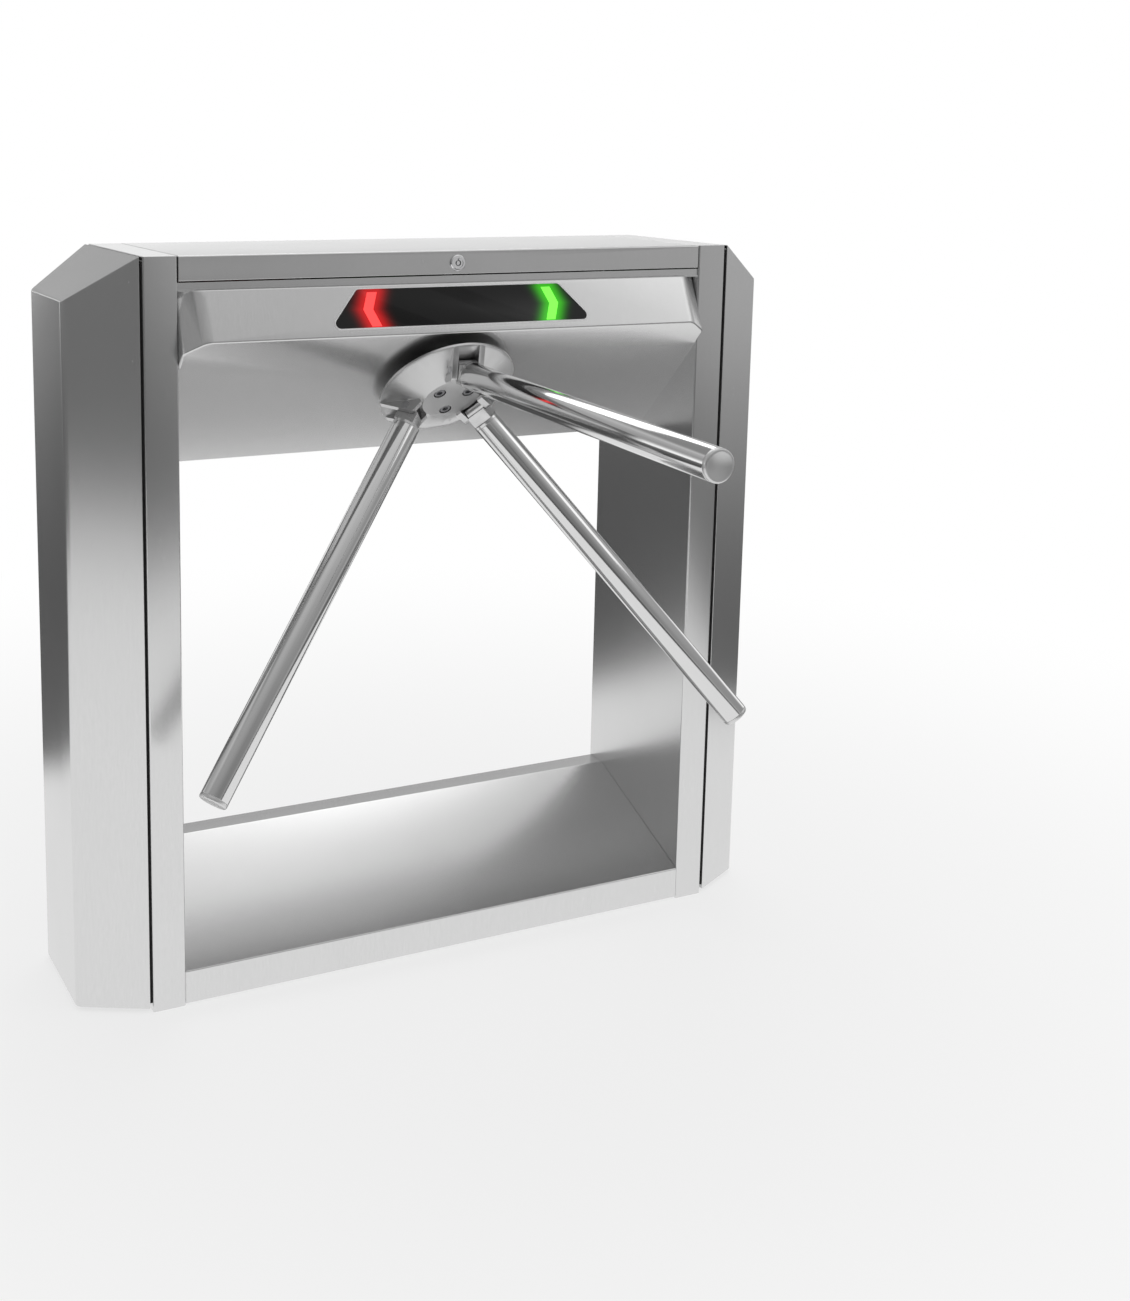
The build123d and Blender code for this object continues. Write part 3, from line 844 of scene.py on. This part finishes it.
@dataclass
class DisplayWindow:
    """The leaning display with its two arrows."""

    origin: Point = (0.0, -0.149, 0.925)
    lean: tuple[float, float] = (-64.0, 28.0)
    arrow_height: float = 1.5 * MM
    half_top: float = 151 * MM
    half_base: float = 196 * MM
    top: float = 29.5 * MM
    base: float = -23.5 * MM
    slanted_share: float = 1.6
    rim_gap: float = 0.5 * MM
    rim_corner: float = 7.5 * MM
    rim_half_width: float = 1.1 * MM

    def frame(self) -> Matrix:
        """The fascia's frame: X along the housing, Y up the fascia, Z out of it."""
        return axis_frame(Vector(self.origin), Vector((0.0, *self.lean)), ALONG)

    def coordinates(self, g: Graph) -> tuple[Socket, Socket]:
        """Place on the fascia, for patterns on it.

        Args:
            g: The material's graph.

        Returns:
            Distance along the housing, and distance up the fascia from the arrows' points.
        """
        up_axis = self.frame().to_3x3().col[1]
        start = Vector(self.origin).dot(up_axis) + self.arrow_height
        place = g.place()
        across = g.add("ShaderNodeSeparateXYZ", {0: place}).outputs[0]
        up = g.math("SUBTRACT", g.vector("DOT_PRODUCT", place, tuple(up_axis)), start)
        return across, up

    def outline(self, grow: float, corner: float, steps: int = 6) -> list[Vector]:
        """Points round the display's rounded trapezoid, on the fascia.

        Args:
            grow: How far the outline stands outside the glass.
            corner: Radius of its corners.
            steps: Steps round each corner.

        Returns:
            The points, in the fascia's own frame.
        """
        top, half_top = self.top + grow, self.half_top + grow
        base, half_base = self.base - grow, self.half_base + grow * self.slanted_share
        sharp = [Vector(corner_point) for corner_point in
                 ((-half_top, top, 0), (-half_base, base, 0), (half_base, base, 0), (half_top, top, 0))]
        points = []
        for k, here in enumerate(sharp):
            before = (sharp[k - 1] - here).normalized()
            after = (sharp[(k + 1) % 4] - here).normalized()
            half = before.angle(after) / 2
            reach = corner / math.tan(half)
            centre = here + (before + after).normalized() * (corner / math.sin(half))
            first = (here + before * reach - centre).normalized()
            last = (here + after * reach - centre).normalized()
            points += [centre + corner * first.slerp(last, s / steps) for s in range(steps + 1)]
        return points

    def build(self, shop: Workshop) -> None:
        """Makes the glass, the two arrows, the bright edge round the glass and the board behind it.

        Args:
            shop: The workshop.
        """
        shop.rounded("display_glass", "smoked_glass", 0.3 * MM, 2, name="display_window")
        shop.rounded("arrow_lens_red", "red_lens", 0.15 * MM, 2)
        shop.rounded("arrow_lens_green", "green_lens", 0.15 * MM, 2)
        self._bright_edge(shop)
        shop.dress("display_board", "circuit_board")
        shop.dress("display_spacers", "brass_fitting")

    def _bright_edge(self, shop: Workshop) -> None:
        """Runs a bead round the glass for the cut-out's edge, its near-white colour a painted highlight.

        Args:
            shop: The workshop.
        """
        path = self.outline(self.rim_gap, self.rim_corner)
        mesh = bead("display_rim", path, self.rim_half_width, self.frame())
        finished(new_object("display_rim", mesh, shop.finishes["rim_highlight"]), "housing")


def set_inputs(modifier: bpy.types.NodesModifier, values: Mapping[str, Any]) -> None:
    """Sets a Geometry Nodes modifier's inputs through their sockets' identifiers.

    Args:
        modifier: The modifier.
        values: The inputs' values, by name.
    """
    for item in modifier.node_group.interface.items_tree:
        if item.item_type == "SOCKET" and item.in_out == "INPUT" and item.name in values:
            modifier[item.identifier] = values[item.name]


def geometry_tree(name: str, inputs: Mapping[str, tuple[str, Any]]) -> tuple[Tree, Graph, Node]:
    """Starts a Geometry Nodes tree.

    Args:
        name: The tree's name.
        inputs: Socket type and default of each input, by name.

    Returns:
        The tree, its graph and its input node.
    """
    tree = bpy.data.node_groups.new(name, "GeometryNodeTree")
    add_inputs(tree, inputs)
    tree.interface.new_socket("Geometry", in_out="OUTPUT", socket_type="NodeSocketGeometry")
    graph = Graph(tree)
    return tree, graph, graph.add("NodeGroupInput")


def close_tree(g: Graph, geometry: Socket, material: Material) -> None:
    """Ends a Geometry Nodes tree with real geometry in one material.

    Args:
        g: The tree's graph.
        geometry: What it has made.
        material: The material that it gets.
    """
    real = g.add("GeometryNodeRealizeInstances", {0: geometry})
    dressed = g.add("GeometryNodeSetMaterial", {"Geometry": real.outputs[0], "Material": material})
    g.add("NodeGroupOutput", {0: dressed.outputs[0]})


def grid_tree(material: Material) -> Tree:
    """A tree that sets copies of a piece on the points of a flat grid.

    Args:
        material: The copies' material.

    Returns:
        The Geometry Nodes tree.
    """
    tree, g, given = geometry_tree("pieces_on_a_grid", {
        "Piece": ("NodeSocketObject", None), "Width": (FLOAT, 0.1), "Depth": (FLOAT, 0.1),
        "Columns": (WHOLE, 2), "Rows": (WHOLE, 2)})
    piece = g.add("GeometryNodeObjectInfo", {"Object": given.outputs["Piece"]}, transform_space="ORIGINAL")
    sizes = {"Size X": "Width", "Size Y": "Depth", "Vertices X": "Columns", "Vertices Y": "Rows"}
    grid = g.add("GeometryNodeMeshGrid", {size: given.outputs[label] for size, label in sizes.items()})
    copies = g.add("GeometryNodeInstanceOnPoints", {"Points": grid.outputs["Mesh"],
                                                    "Instance": piece.outputs["Geometry"]})
    close_tree(g, copies.outputs[0], material)
    return tree


@dataclass(frozen=True)
class Repeat:
    """A small piece set out in columns and rows on a face of the housing."""

    name: str
    profile: Profile
    sides: int
    spacing: tuple[float, float]
    count: tuple[int, int]
    place: Matrix
    slot: str
    finish: str

    def build(self, shop: Workshop) -> None:
        """Makes the copies.

        Args:
            shop: The workshop.
        """
        material = shop.finishes[self.finish]
        mesh = lathe(self.name, self.profile, Matrix(), self.sides)
        pattern = new_object(self.name + "_pattern", mesh, material)
        copies = new_object(self.name, bpy.data.meshes.new(self.name + "_copies"), material)
        modifier = copies.modifiers.new("copies", "NODES")
        modifier.node_group = grid_tree(material)
        columns, rows = self.count
        set_inputs(modifier, {"Piece": pattern, "Width": self.spacing[0] * (columns - 1),
                              "Depth": self.spacing[1] * (rows - 1), "Columns": columns, "Rows": rows})
        baked(copies)
        copies.data.transform(self.place)
        bpy.data.objects.remove(pattern)
        finished(copies, "housing")


def peg(radius: float, height: float, soft: float = 0.0) -> Profile:
    """Half section of a round peg whose free end may have a cut corner."""
    shoulder = [(radius, height - soft), (radius - soft, height)] if soft else [(radius, height)]
    return [(0.0, 0.0), (radius, 0.0), *shoulder, (0.0, height)]


def socket_screw(radius: float, height: float) -> Profile:
    """Half section of a cap screw's head with a cut corner and a deep socket."""
    soft, socket, floor = radius * 0.14, radius * 0.5, height * 0.35
    return [*peg(radius, height, soft)[:-1], (socket, height), (socket, floor), (0.0, floor)]


@dataclass
class LidFittings:
    """Hinge and cam lock of the lid."""

    shop: Workshop
    barrel_edge: float = 0.35 * MM
    plug_edge: float = 0.2 * MM
    cam_edge: float = 0.25 * MM
    hinge_edge: float = 0.2 * MM

    def build(self) -> None:
        """Makes the lock and the hinge."""
        self.shop.rounded("lock_barrel", "bright_chrome", self.barrel_edge)
        self.shop.rounded("lock_plug", "bright_chrome", self.plug_edge, 2)
        for node in ("lock_cam", "lock_nut", "lock_striker"):
            self.shop.rounded(node, "zinc_plate", self.cam_edge, 2)
        for node in ("hinge_fixed_leaf", "hinge_moving_leaf", "hinge_pin"):
            self.shop.rounded(node, "turned_steel", self.hinge_edge, 2)


@dataclass
class TurningHub:
    """The cast hub with its ears, the three screws, the arms' pins and the shaft behind it."""

    shop: Workshop
    edge: float = 0.5 * MM
    pin_edge: float = 0.6 * MM
    softened_over: float = 24.0

    def build(self) -> None:
        """Makes the hub, its screws, its pins and the shaft."""
        self.shop.rounded("hub_body", "cast_metal", self.edge, 3, self.softened_over)
        self.shop.rounded("hub_screws", "dark_screw", self.edge, 2)
        self.shop.rounded("main_shaft", "turned_steel", self.edge, 2)
        for arm in "abc":
            self.shop.rounded(f"arm_{arm}_pin", "turned_steel", self.pin_edge, 2)


@dataclass
class BarrierArm:
    """One polished arm with its root block and end cap."""

    shop: Workshop
    letter: str
    turn: float
    hub_frame: Matrix
    apex: float = -24.4 * MM
    tilt: float = 43.0
    start: float = 106.0 * MM
    length: float = 667.0 * MM
    radius: float = 19.0 * MM
    wall: float = 2.0 * MM
    cap: float = 6.0 * MM
    plug: float = 26.0 * MM
    pin: Point = (0.0, 6.0 * MM, 84.0 * MM)
    pin_cap: float = 6.0 * MM
    ear_face: float = 23.6 * MM
    pin_proud: float = 0.45 * MM
    pin_groove: float = 1.1 * MM
    edge: float = 0.5 * MM
    root_edge: float = 0.9 * MM
    lip: float = 2.6 * MM
    rim_width: float = 1.2 * MM
    dish_slope: float = 0.6 * MM
    dish_depth: float = 0.35 * MM

    def frame(self) -> Matrix:
        """The arm's frame, Z along the arm from where the three axes meet."""
        lean = math.radians(self.tilt)
        local = axis_frame(Vector((0, 0, self.apex)), Vector((0, math.sin(lean), math.cos(lean))), ALONG)
        return self.hub_frame @ Matrix.Rotation(math.radians(self.turn), 4, "Z") @ local

    def build(self) -> None:
        """Makes the tube, the cap and the root block."""
        self.shop.turned(f"arm_{self.letter}_polished_tube", f"arm_{self.letter}_tube", "polished_steel",
                         self._tube(), self.frame())
        self.shop.turned(f"arm_{self.letter}_end_cap", f"arm_{self.letter}_cap", "satin_cap",
                         self._end_cap(), self.frame())
        self.shop.rounded(f"arm_{self.letter}_root", "bright_casting", self.root_edge, 3)
        self._pin_ends()

    def _tube(self) -> Profile:
        """Half section of the tube, with its outer corners softened."""
        r, soft, inner, end = self.radius, self.edge, self.radius - self.wall, self.length - self.cap
        return [(inner, self.start), (r - soft, self.start),
                *rounded_corner(soft, (r - soft, self.start + soft), -90, 0, 3),
                *rounded_corner(soft, (r - soft, end - soft), 0, 90, 3), (inner, end)]

    def _end_cap(self) -> Profile:
        """Half section of the cap: a plug inside the tube, a round lip and a shallow dish in its face."""
        r, soft, inner, end = self.radius, self.edge, self.radius - self.wall, self.length - self.cap
        plug_end, rim = end - self.plug + self.cap, r - self.lip - self.rim_width
        dish_edge, dish = rim - self.dish_slope, self.length - self.dish_depth
        return [(0.0, plug_end), (inner, plug_end), (inner, end), (r - soft, end),
                *rounded_corner(soft, (r - soft, end + soft), -90, 0, 3),
                *rounded_corner(self.lip, (r - self.lip, self.length - self.lip), 0, 90),
                (rim, self.length), (dish_edge, dish), (0.0, dish)]

    def _pin_ends(self) -> None:
        """Caps the pin's two ends, flush against the ears."""
        radius, proud, groove = self.pin_cap, self.pin_proud, self.pin_groove
        cap = ((0.0, -proud), (radius, -proud), (radius, proud * 0.6), (radius - proud * 0.4, proud),
               (radius - groove, proud), (radius - groove, 0.0), (radius - 2 * groove, 0.0),
               (radius - 2 * groove, proud), (0.0, proud))
        middle = self.frame() @ Matrix.Translation(self.pin)
        for side, sign in (("left", -1.0), ("right", 1.0)):
            place = middle @ Matrix.Translation((sign * self.ear_face, 0.0, 0.0)) @ Matrix.Rotation(
                sign * math.pi / 2, 4, "Y")
            name = f"arm_{self.letter}_pin_end_{side}"
            finished(new_object(name, lathe(name, cap, place, 32), self.shop.finishes["turned_steel"]),
                     "hub")


@dataclass
class Mechanism:
    """Bearing, cam, detent and gears behind the sloped sheet."""

    shop: Workshop
    hub_frame: Matrix
    edge: float = 0.3 * MM
    plate_face: float = -10 * MM
    screw_radius: float = 4.5 * MM
    screw_height: float = 4 * MM
    screw_spacing: tuple[float, float] = (168 * MM, 102 * MM)

    def build(self) -> None:
        """Dresses the inner parts and adds their fixings."""
        for node in ("mechanism_plate", "index_cam", "shaft_gear", "encoder_pinion", "encoder_shaft",
                     "detent_lever", "detent_roller", "roller_pin", "detent_post", "shaft_bearings"):
            self.shop.rounded(node, "turned_steel", self.edge, 2)
        self.shop.rounded("bearing_housing", "cast_metal", self.edge, 2)
        self.shop.rounded("encoder_body", "black_plastic", self.edge, 2)
        self._plate_screws()

    def _plate_screws(self) -> None:
        """Screws the plate to the sloped sheet at its corners, from inside."""
        inward = Matrix.Translation((0.0, 0.0, self.plate_face)) @ Matrix.Rotation(math.pi, 4, "X")
        head = socket_screw(self.screw_radius, self.screw_height)
        Repeat("plate_screws", head, 24, self.screw_spacing, (2, 2), self.hub_frame @ inward,
               "machined_steel", "dark_screw").build(self.shop)


@dataclass
class Electronics:
    """Boards and power supply inside the head."""

    shop: Workshop
    part_edge: float = 0.6 * MM
    spacer_edge: float = 0.3 * MM
    case_edge: float = 0.8 * MM
    pin_radius: float = 0.5 * MM
    capacitor_radius: float = 3.2 * MM
    solder_radius: float = 0.7 * MM

    def build(self) -> None:
        """Dresses the boards, their parts and the supply."""
        self.shop.dress("control_board", "circuit_board")
        self.shop.rounded("board_parts", "black_plastic", self.part_edge, 2)
        self.shop.rounded("board_spacers", "brass_fitting", self.spacer_edge, 2)
        self.shop.rounded("power_supply", "zinc_plate", self.case_edge, 2)
        self._board_details()

    def _board_details(self) -> None:
        """Sets terminal pins, capacitors and solder points on the board, from its lower edge up."""
        low, high = (Vector(corner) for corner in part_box("control_board"))
        facing = axis_frame(Vector(((low.x + high.x) / 2, low.y, low.z)), Vector((0.0, -1.0, 0.0)), ALONG)
        pin, capacitor, solder = self.pin_radius, self.capacitor_radius, self.solder_radius
        blob = [(0.0, 0.0), (solder, 0.0), (solder * 0.7, solder * 0.6), (0.0, solder)]
        metal, plastic = ("machined_steel", "bright_chrome"), ("black_plastic", "black_plastic")
        for name, profile, sides, spacing, count, middle, look in (
                ("board_terminal_pins", peg(pin, 6 * MM), 6, (5 * MM, 3 * MM), (14, 2), (0.0, 7 * MM), metal),
                ("board_capacitors", peg(capacitor, 8 * MM, 0.6 * MM), 20, (11 * MM, 12 * MM), (4, 2),
                 (2 * MM, 58 * MM), plastic),
                ("board_solder_points", blob, 8, (4 * MM, 4 * MM), (9, 5), (52 * MM, 84 * MM), metal)):
            place = facing @ Matrix.Translation((*middle, 0.0))
            Repeat(name, profile, sides, spacing, count, place, *look).build(self.shop)


# ---------------------------------------------------------------- stage
@dataclass(frozen=True)
class Viewpoint:
    """Where the camera stands and how it looks."""

    position: Point = (-1.0225, -2.1542, 1.148)
    heading: float = 0.4524
    down: float = 0.1598
    roll: float = -0.012
    lens: float = 46.67
    shift: tuple[float, float] = (0.1038, -0.1849)

    def build(self) -> None:
        """Makes the camera and sets it as the scene's own."""
        level_share = math.cos(self.down)
        ahead = Vector((math.sin(self.heading) * level_share, math.cos(self.heading) * level_share,
                        -math.sin(self.down)))
        level = Vector((math.cos(self.heading), -math.sin(self.heading), 0.0))
        below = ahead.cross(level)
        right = math.cos(self.roll) * level + math.sin(self.roll) * below
        under = math.cos(self.roll) * below - math.sin(self.roll) * level
        data = bpy.data.cameras.new("viewpoint")
        data.lens = self.lens
        data.shift_x, data.shift_y = self.shift
        camera = bpy.data.objects.new("viewpoint", data)
        pose = Matrix((right, -under, -ahead)).transposed().to_4x4()
        pose.translation = Vector(self.position)
        camera.matrix_world = pose
        bpy.context.scene.collection.objects.link(camera)
        bpy.context.scene.camera = camera


@dataclass(frozen=True)
class Softbox:
    """One large soft lamp."""

    name: str
    position: Point
    target: Point
    size: tuple[float, float]
    brightness: float

    def build(self) -> None:
        """Makes the lamp."""
        data = bpy.data.lights.new(self.name, "AREA")
        data.shape = "RECTANGLE"
        data.size, data.size_y = self.size
        data.energy = self.brightness * math.pi * self.size[0] * self.size[1]
        lamp = bpy.data.objects.new(self.name, data)
        lamp.location = self.position
        aim = Vector(self.target) - Vector(self.position)
        lamp.rotation_euler = aim.to_track_quat("-Z", "Y").to_euler()
        bpy.context.scene.collection.objects.link(lamp)


@dataclass(frozen=True)
class Studio:
    """Pale floor, pale surroundings and soft lamps."""

    half_size: float = 60.0
    pool_low: tuple[float, float] = (-3.0, -2.4)
    pool_high: tuple[float, float] = (1.35, 0.85)
    pool_blur: float = 0.12
    back_bands: Profile = ((0.0, 1.3), (0.12, 1.22), (0.2, 0.62), (0.3, 0.42), (0.5, 0.55), (0.72, 1.0))
    front_bands: Profile = ((0.0, 0.32), (0.15, 0.3), (0.42, 0.4), (0.68, 0.6), (0.9, 0.85), (1.0, 1.0))
    panel_across: float = 0.33
    panel_half_width: tuple[float, float] = (0.07, 0.2)
    panel_levels: tuple[float, float] = (1.15, 0.32)
    panel_rise: tuple[float, float] = (0.55, 0.68)
    panel_fall: tuple[float, float] = (0.9, 0.96)

    def build(self) -> None:
        """Makes the floor, the surroundings and the lamps."""
        self._floor()
        self._surroundings()
        Softbox("back_softbox", (0.9, 2.4, 3.2), (0.1, 0.0, 0.3), (2.6, 1.4), 1.6).build()
        Softbox("right_softbox", (2.6, -1.8, 2.6), (0.0, 0.0, 0.6), (1.4, 1.4), 0.8).build()
        bpy.context.scene.view_settings.view_transform = "Standard"

    def _floor(self) -> None:
        """A floor whose middle glows as a painted pool of light, seen in reflections."""
        bm = bmesh.new()
        h = self.half_size
        bm.faces.new([bm.verts.new(p) for p in ((-h, -h, 0), (h, -h, 0), (h, h, 0), (-h, h, 0))])
        material, g, shader = new_material("studio_floor")
        place = g.place()
        split = g.add("ShaderNodeSeparateXYZ", {0: place})
        blur, inside = self.pool_blur, 1.0
        for axis in (0, 1):
            for edge, sign in ((self.pool_low[axis], 1.0), (self.pool_high[axis], -1.0)):
                near = g.math("MULTIPLY", g.math("SUBTRACT", split.outputs[axis], edge), sign)
                inside = g.math("MULTIPLY", inside, g.span(near, -blur, blur, 0.0, 1.0, smooth=True))
        # painted pool of light: dimmer further out, brighter towards +x
        far = g.span(g.vector("LENGTH", place), 2.5, 9.0, 0.15, 0.34)
        far = g.math("MULTIPLY", far, g.span(split.outputs[0], 0.6, 4.2, 0.62, 1.6))
        level = g.math("ADD", inside, g.math("MULTIPLY", g.math("SUBTRACT", 1.0, inside), far))
        shader.inputs["Base Color"].default_value = grey(0.82)
        shader.inputs["Roughness"].default_value = 0.9
        shader.inputs["Specular IOR Level"].default_value = 0.0
        rays = g.add("ShaderNodeLightPath")
        # reflections see only this painted glow; camera rays see a mostly white glowing floor
        seen = g.add("ShaderNodeEmission", {"Strength": level})
        plain = g.add("ShaderNodeEmission", {"Color": grey(1.0), "Strength": 1.0})
        share = g.span(g.vector("LENGTH", place), 0.4, 2.2, 0.72, 1.0, smooth=True)
        shown = g.add("ShaderNodeMixShader", {0: share, 1: shader.outputs[0], 2: plain.outputs[0]})
        picked = g.add("ShaderNodeMixShader", {0: rays.outputs["Is Camera Ray"], 1: seen.outputs[0],
                                               2: shown.outputs[0]})
        output = next(n for n in g.tree.nodes if n.type == "OUTPUT_MATERIAL")
        g.feed(output.inputs["Surface"], picked.outputs[0])
        new_object("studio_floor", mesh_from(bm, "studio_floor"), material)

    def _surroundings(self) -> None:
        """Bands of light and shade that the metal mirrors, behind a plain white backdrop."""
        world = bpy.data.worlds.new("studio")
        bpy.context.scene.world = world
        world.use_nodes = True
        world.node_tree.nodes.clear()
        g = Graph(world.node_tree)
        way = g.add("ShaderNodeTexCoord").outputs["Generated"]
        across, ahead, height = g.add("ShaderNodeSeparateXYZ", {0: way}).outputs
        toward_right = g.span(across, -0.1, 0.6, 0.8, 1.25)
        front = g.mix(1.0, g.ramp(height, self.front_bands), toward_right, "MULTIPLY")
        beside = g.math("ABSOLUTE", g.math("SUBTRACT", across, self.panel_across))
        panel = g.span(beside, *self.panel_half_width, *self.panel_levels, smooth=True)
        overhead = g.math("MULTIPLY", g.span(height, *self.panel_rise, 0.0, 1.0, smooth=True),
                          g.span(height, *self.panel_fall, 1.0, 0.0, smooth=True))
        back = g.mix(overhead, g.ramp(height, self.back_bands), panel)
        behind = g.span(ahead, -0.2, 0.2, 0.0, 1.0, smooth=True)
        tone = g.mix(behind, front, back)
        tone = g.mix(g.add("ShaderNodeLightPath").outputs["Is Camera Ray"], tone, grey(1.0))
        backdrop = g.add("ShaderNodeBackground", {"Color": tone, "Strength": 1.0})
        g.add("ShaderNodeOutputWorld", {"Surface": backdrop.outputs[0]})


def all_finishes(effects: SharedEffects, window: DisplayWindow) -> dict[str, Material]:
    """Builds every finish.

    Args:
        effects: The shared shader groups.
        window: The display, which knows where the arrows lie.

    Returns:
        The materials, by name.
    """
    plain = [
        BrushedSteel("upright_steel", GrainRun.UPRIGHT),
        BrushedSteel("head_steel", GrainRun.OVER_THE_FOLDS),
        PlainMetal("polished_steel", (0.68, 0.68, 0.68), 0.09, 0.015, 0.0, highlight_share=0.0),
        PlainMetal("satin_cap", (0.66, 0.66, 0.66), 0.38, 0.03, 0.04, highlight_share=0.5),
        # painted highlight: the edge colour and share given below lighten each metal's edges
        PlainMetal("dark_screw", (0.3, 0.3, 0.31), 0.3, 0.05, 0.06,
                   highlight_colour=(0.7, 0.7, 0.7), highlight_share=0.7),
        # painted highlight: a near-white, barely metallic bead stands for the cut-out's bright edge
        PlainMetal("rim_highlight", (0.95, 0.95, 0.95), 0.45, 0.02, 0.0, highlight_share=0.0, metallic=0.3),
        PlainMetal("cast_metal", (0.56, 0.56, 0.56), 0.28, 0.03, 0.05,
                   highlight_colour=(0.95, 0.95, 0.95), highlight_share=0.85),
        PlainMetal("bright_casting", (0.66, 0.66, 0.66), 0.24, 0.03, 0.06, highlight_share=0.6),
        PlainMetal("bright_chrome", (0.78, 0.78, 0.79), 0.09, 0.02, 0.01, highlight_share=0.3),
        PlainMetal("turned_steel", (0.52, 0.52, 0.53), 0.26, 0.05, 0.08),
        PlainMetal("zinc_plate", (0.56, 0.57, 0.60), 0.36, 0.08, 0.12),
        PlainMetal("brass_fitting", (0.62, 0.47, 0.22), 0.28, 0.05, 0.05, highlight_colour=(0.8, 0.66, 0.4)),
        Moulded("seal_rubber", (0.012, 0.012, 0.012), 0.75),
        Moulded("black_plastic", (0.02, 0.02, 0.021), 0.5),
        Moulded("circuit_board", (0.02, 0.13, 0.05), 0.4, 300.0, 0.1, 0.5),
    ]
    made = {finish.name: finish.build(effects) for finish in plain}
    lenses = [LitLens("red_lens", (1.0, 0.085, 0.08), (0.95, 0.01, 0.012), -1.0),
              LitLens("green_lens", (0.23, 0.96, 0.09), (0.06, 0.8, 0.01), 1.0)]
    for lens in lenses:
        made[lens.name] = lens.build(effects, window)
    made["smoked_glass"] = SmokedGlass("smoked_glass").build(effects, window, lenses)
    return made


def main() -> None:
    """Builds the turnstile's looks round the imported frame."""
    logging.basicConfig(level=logging.INFO, format="%(name)s: %(message)s")
    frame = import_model()
    Viewpoint().build()
    Studio().build()
    window = DisplayWindow()
    shop = Workshop(frame, all_finishes(SharedEffects(), window))
    hub = next(j for j in frame["joints"] if j["name"] == "hub_spin")
    hub_frame = axis_frame(Vector(hub["pos_m"]), Vector(hub["axis"]), ALONG)
    SheetBody(shop).build()
    window.build(shop)
    LidFittings(shop).build()
    TurningHub(shop).build()
    for letter, turn in (("a", 0.0), ("b", 120.0), ("c", 240.0)):
        BarrierArm(shop, letter, turn, hub_frame).build()
    Mechanism(shop, hub_frame).build()
    Electronics(shop).build()


if __name__ == "__main__":
    main()
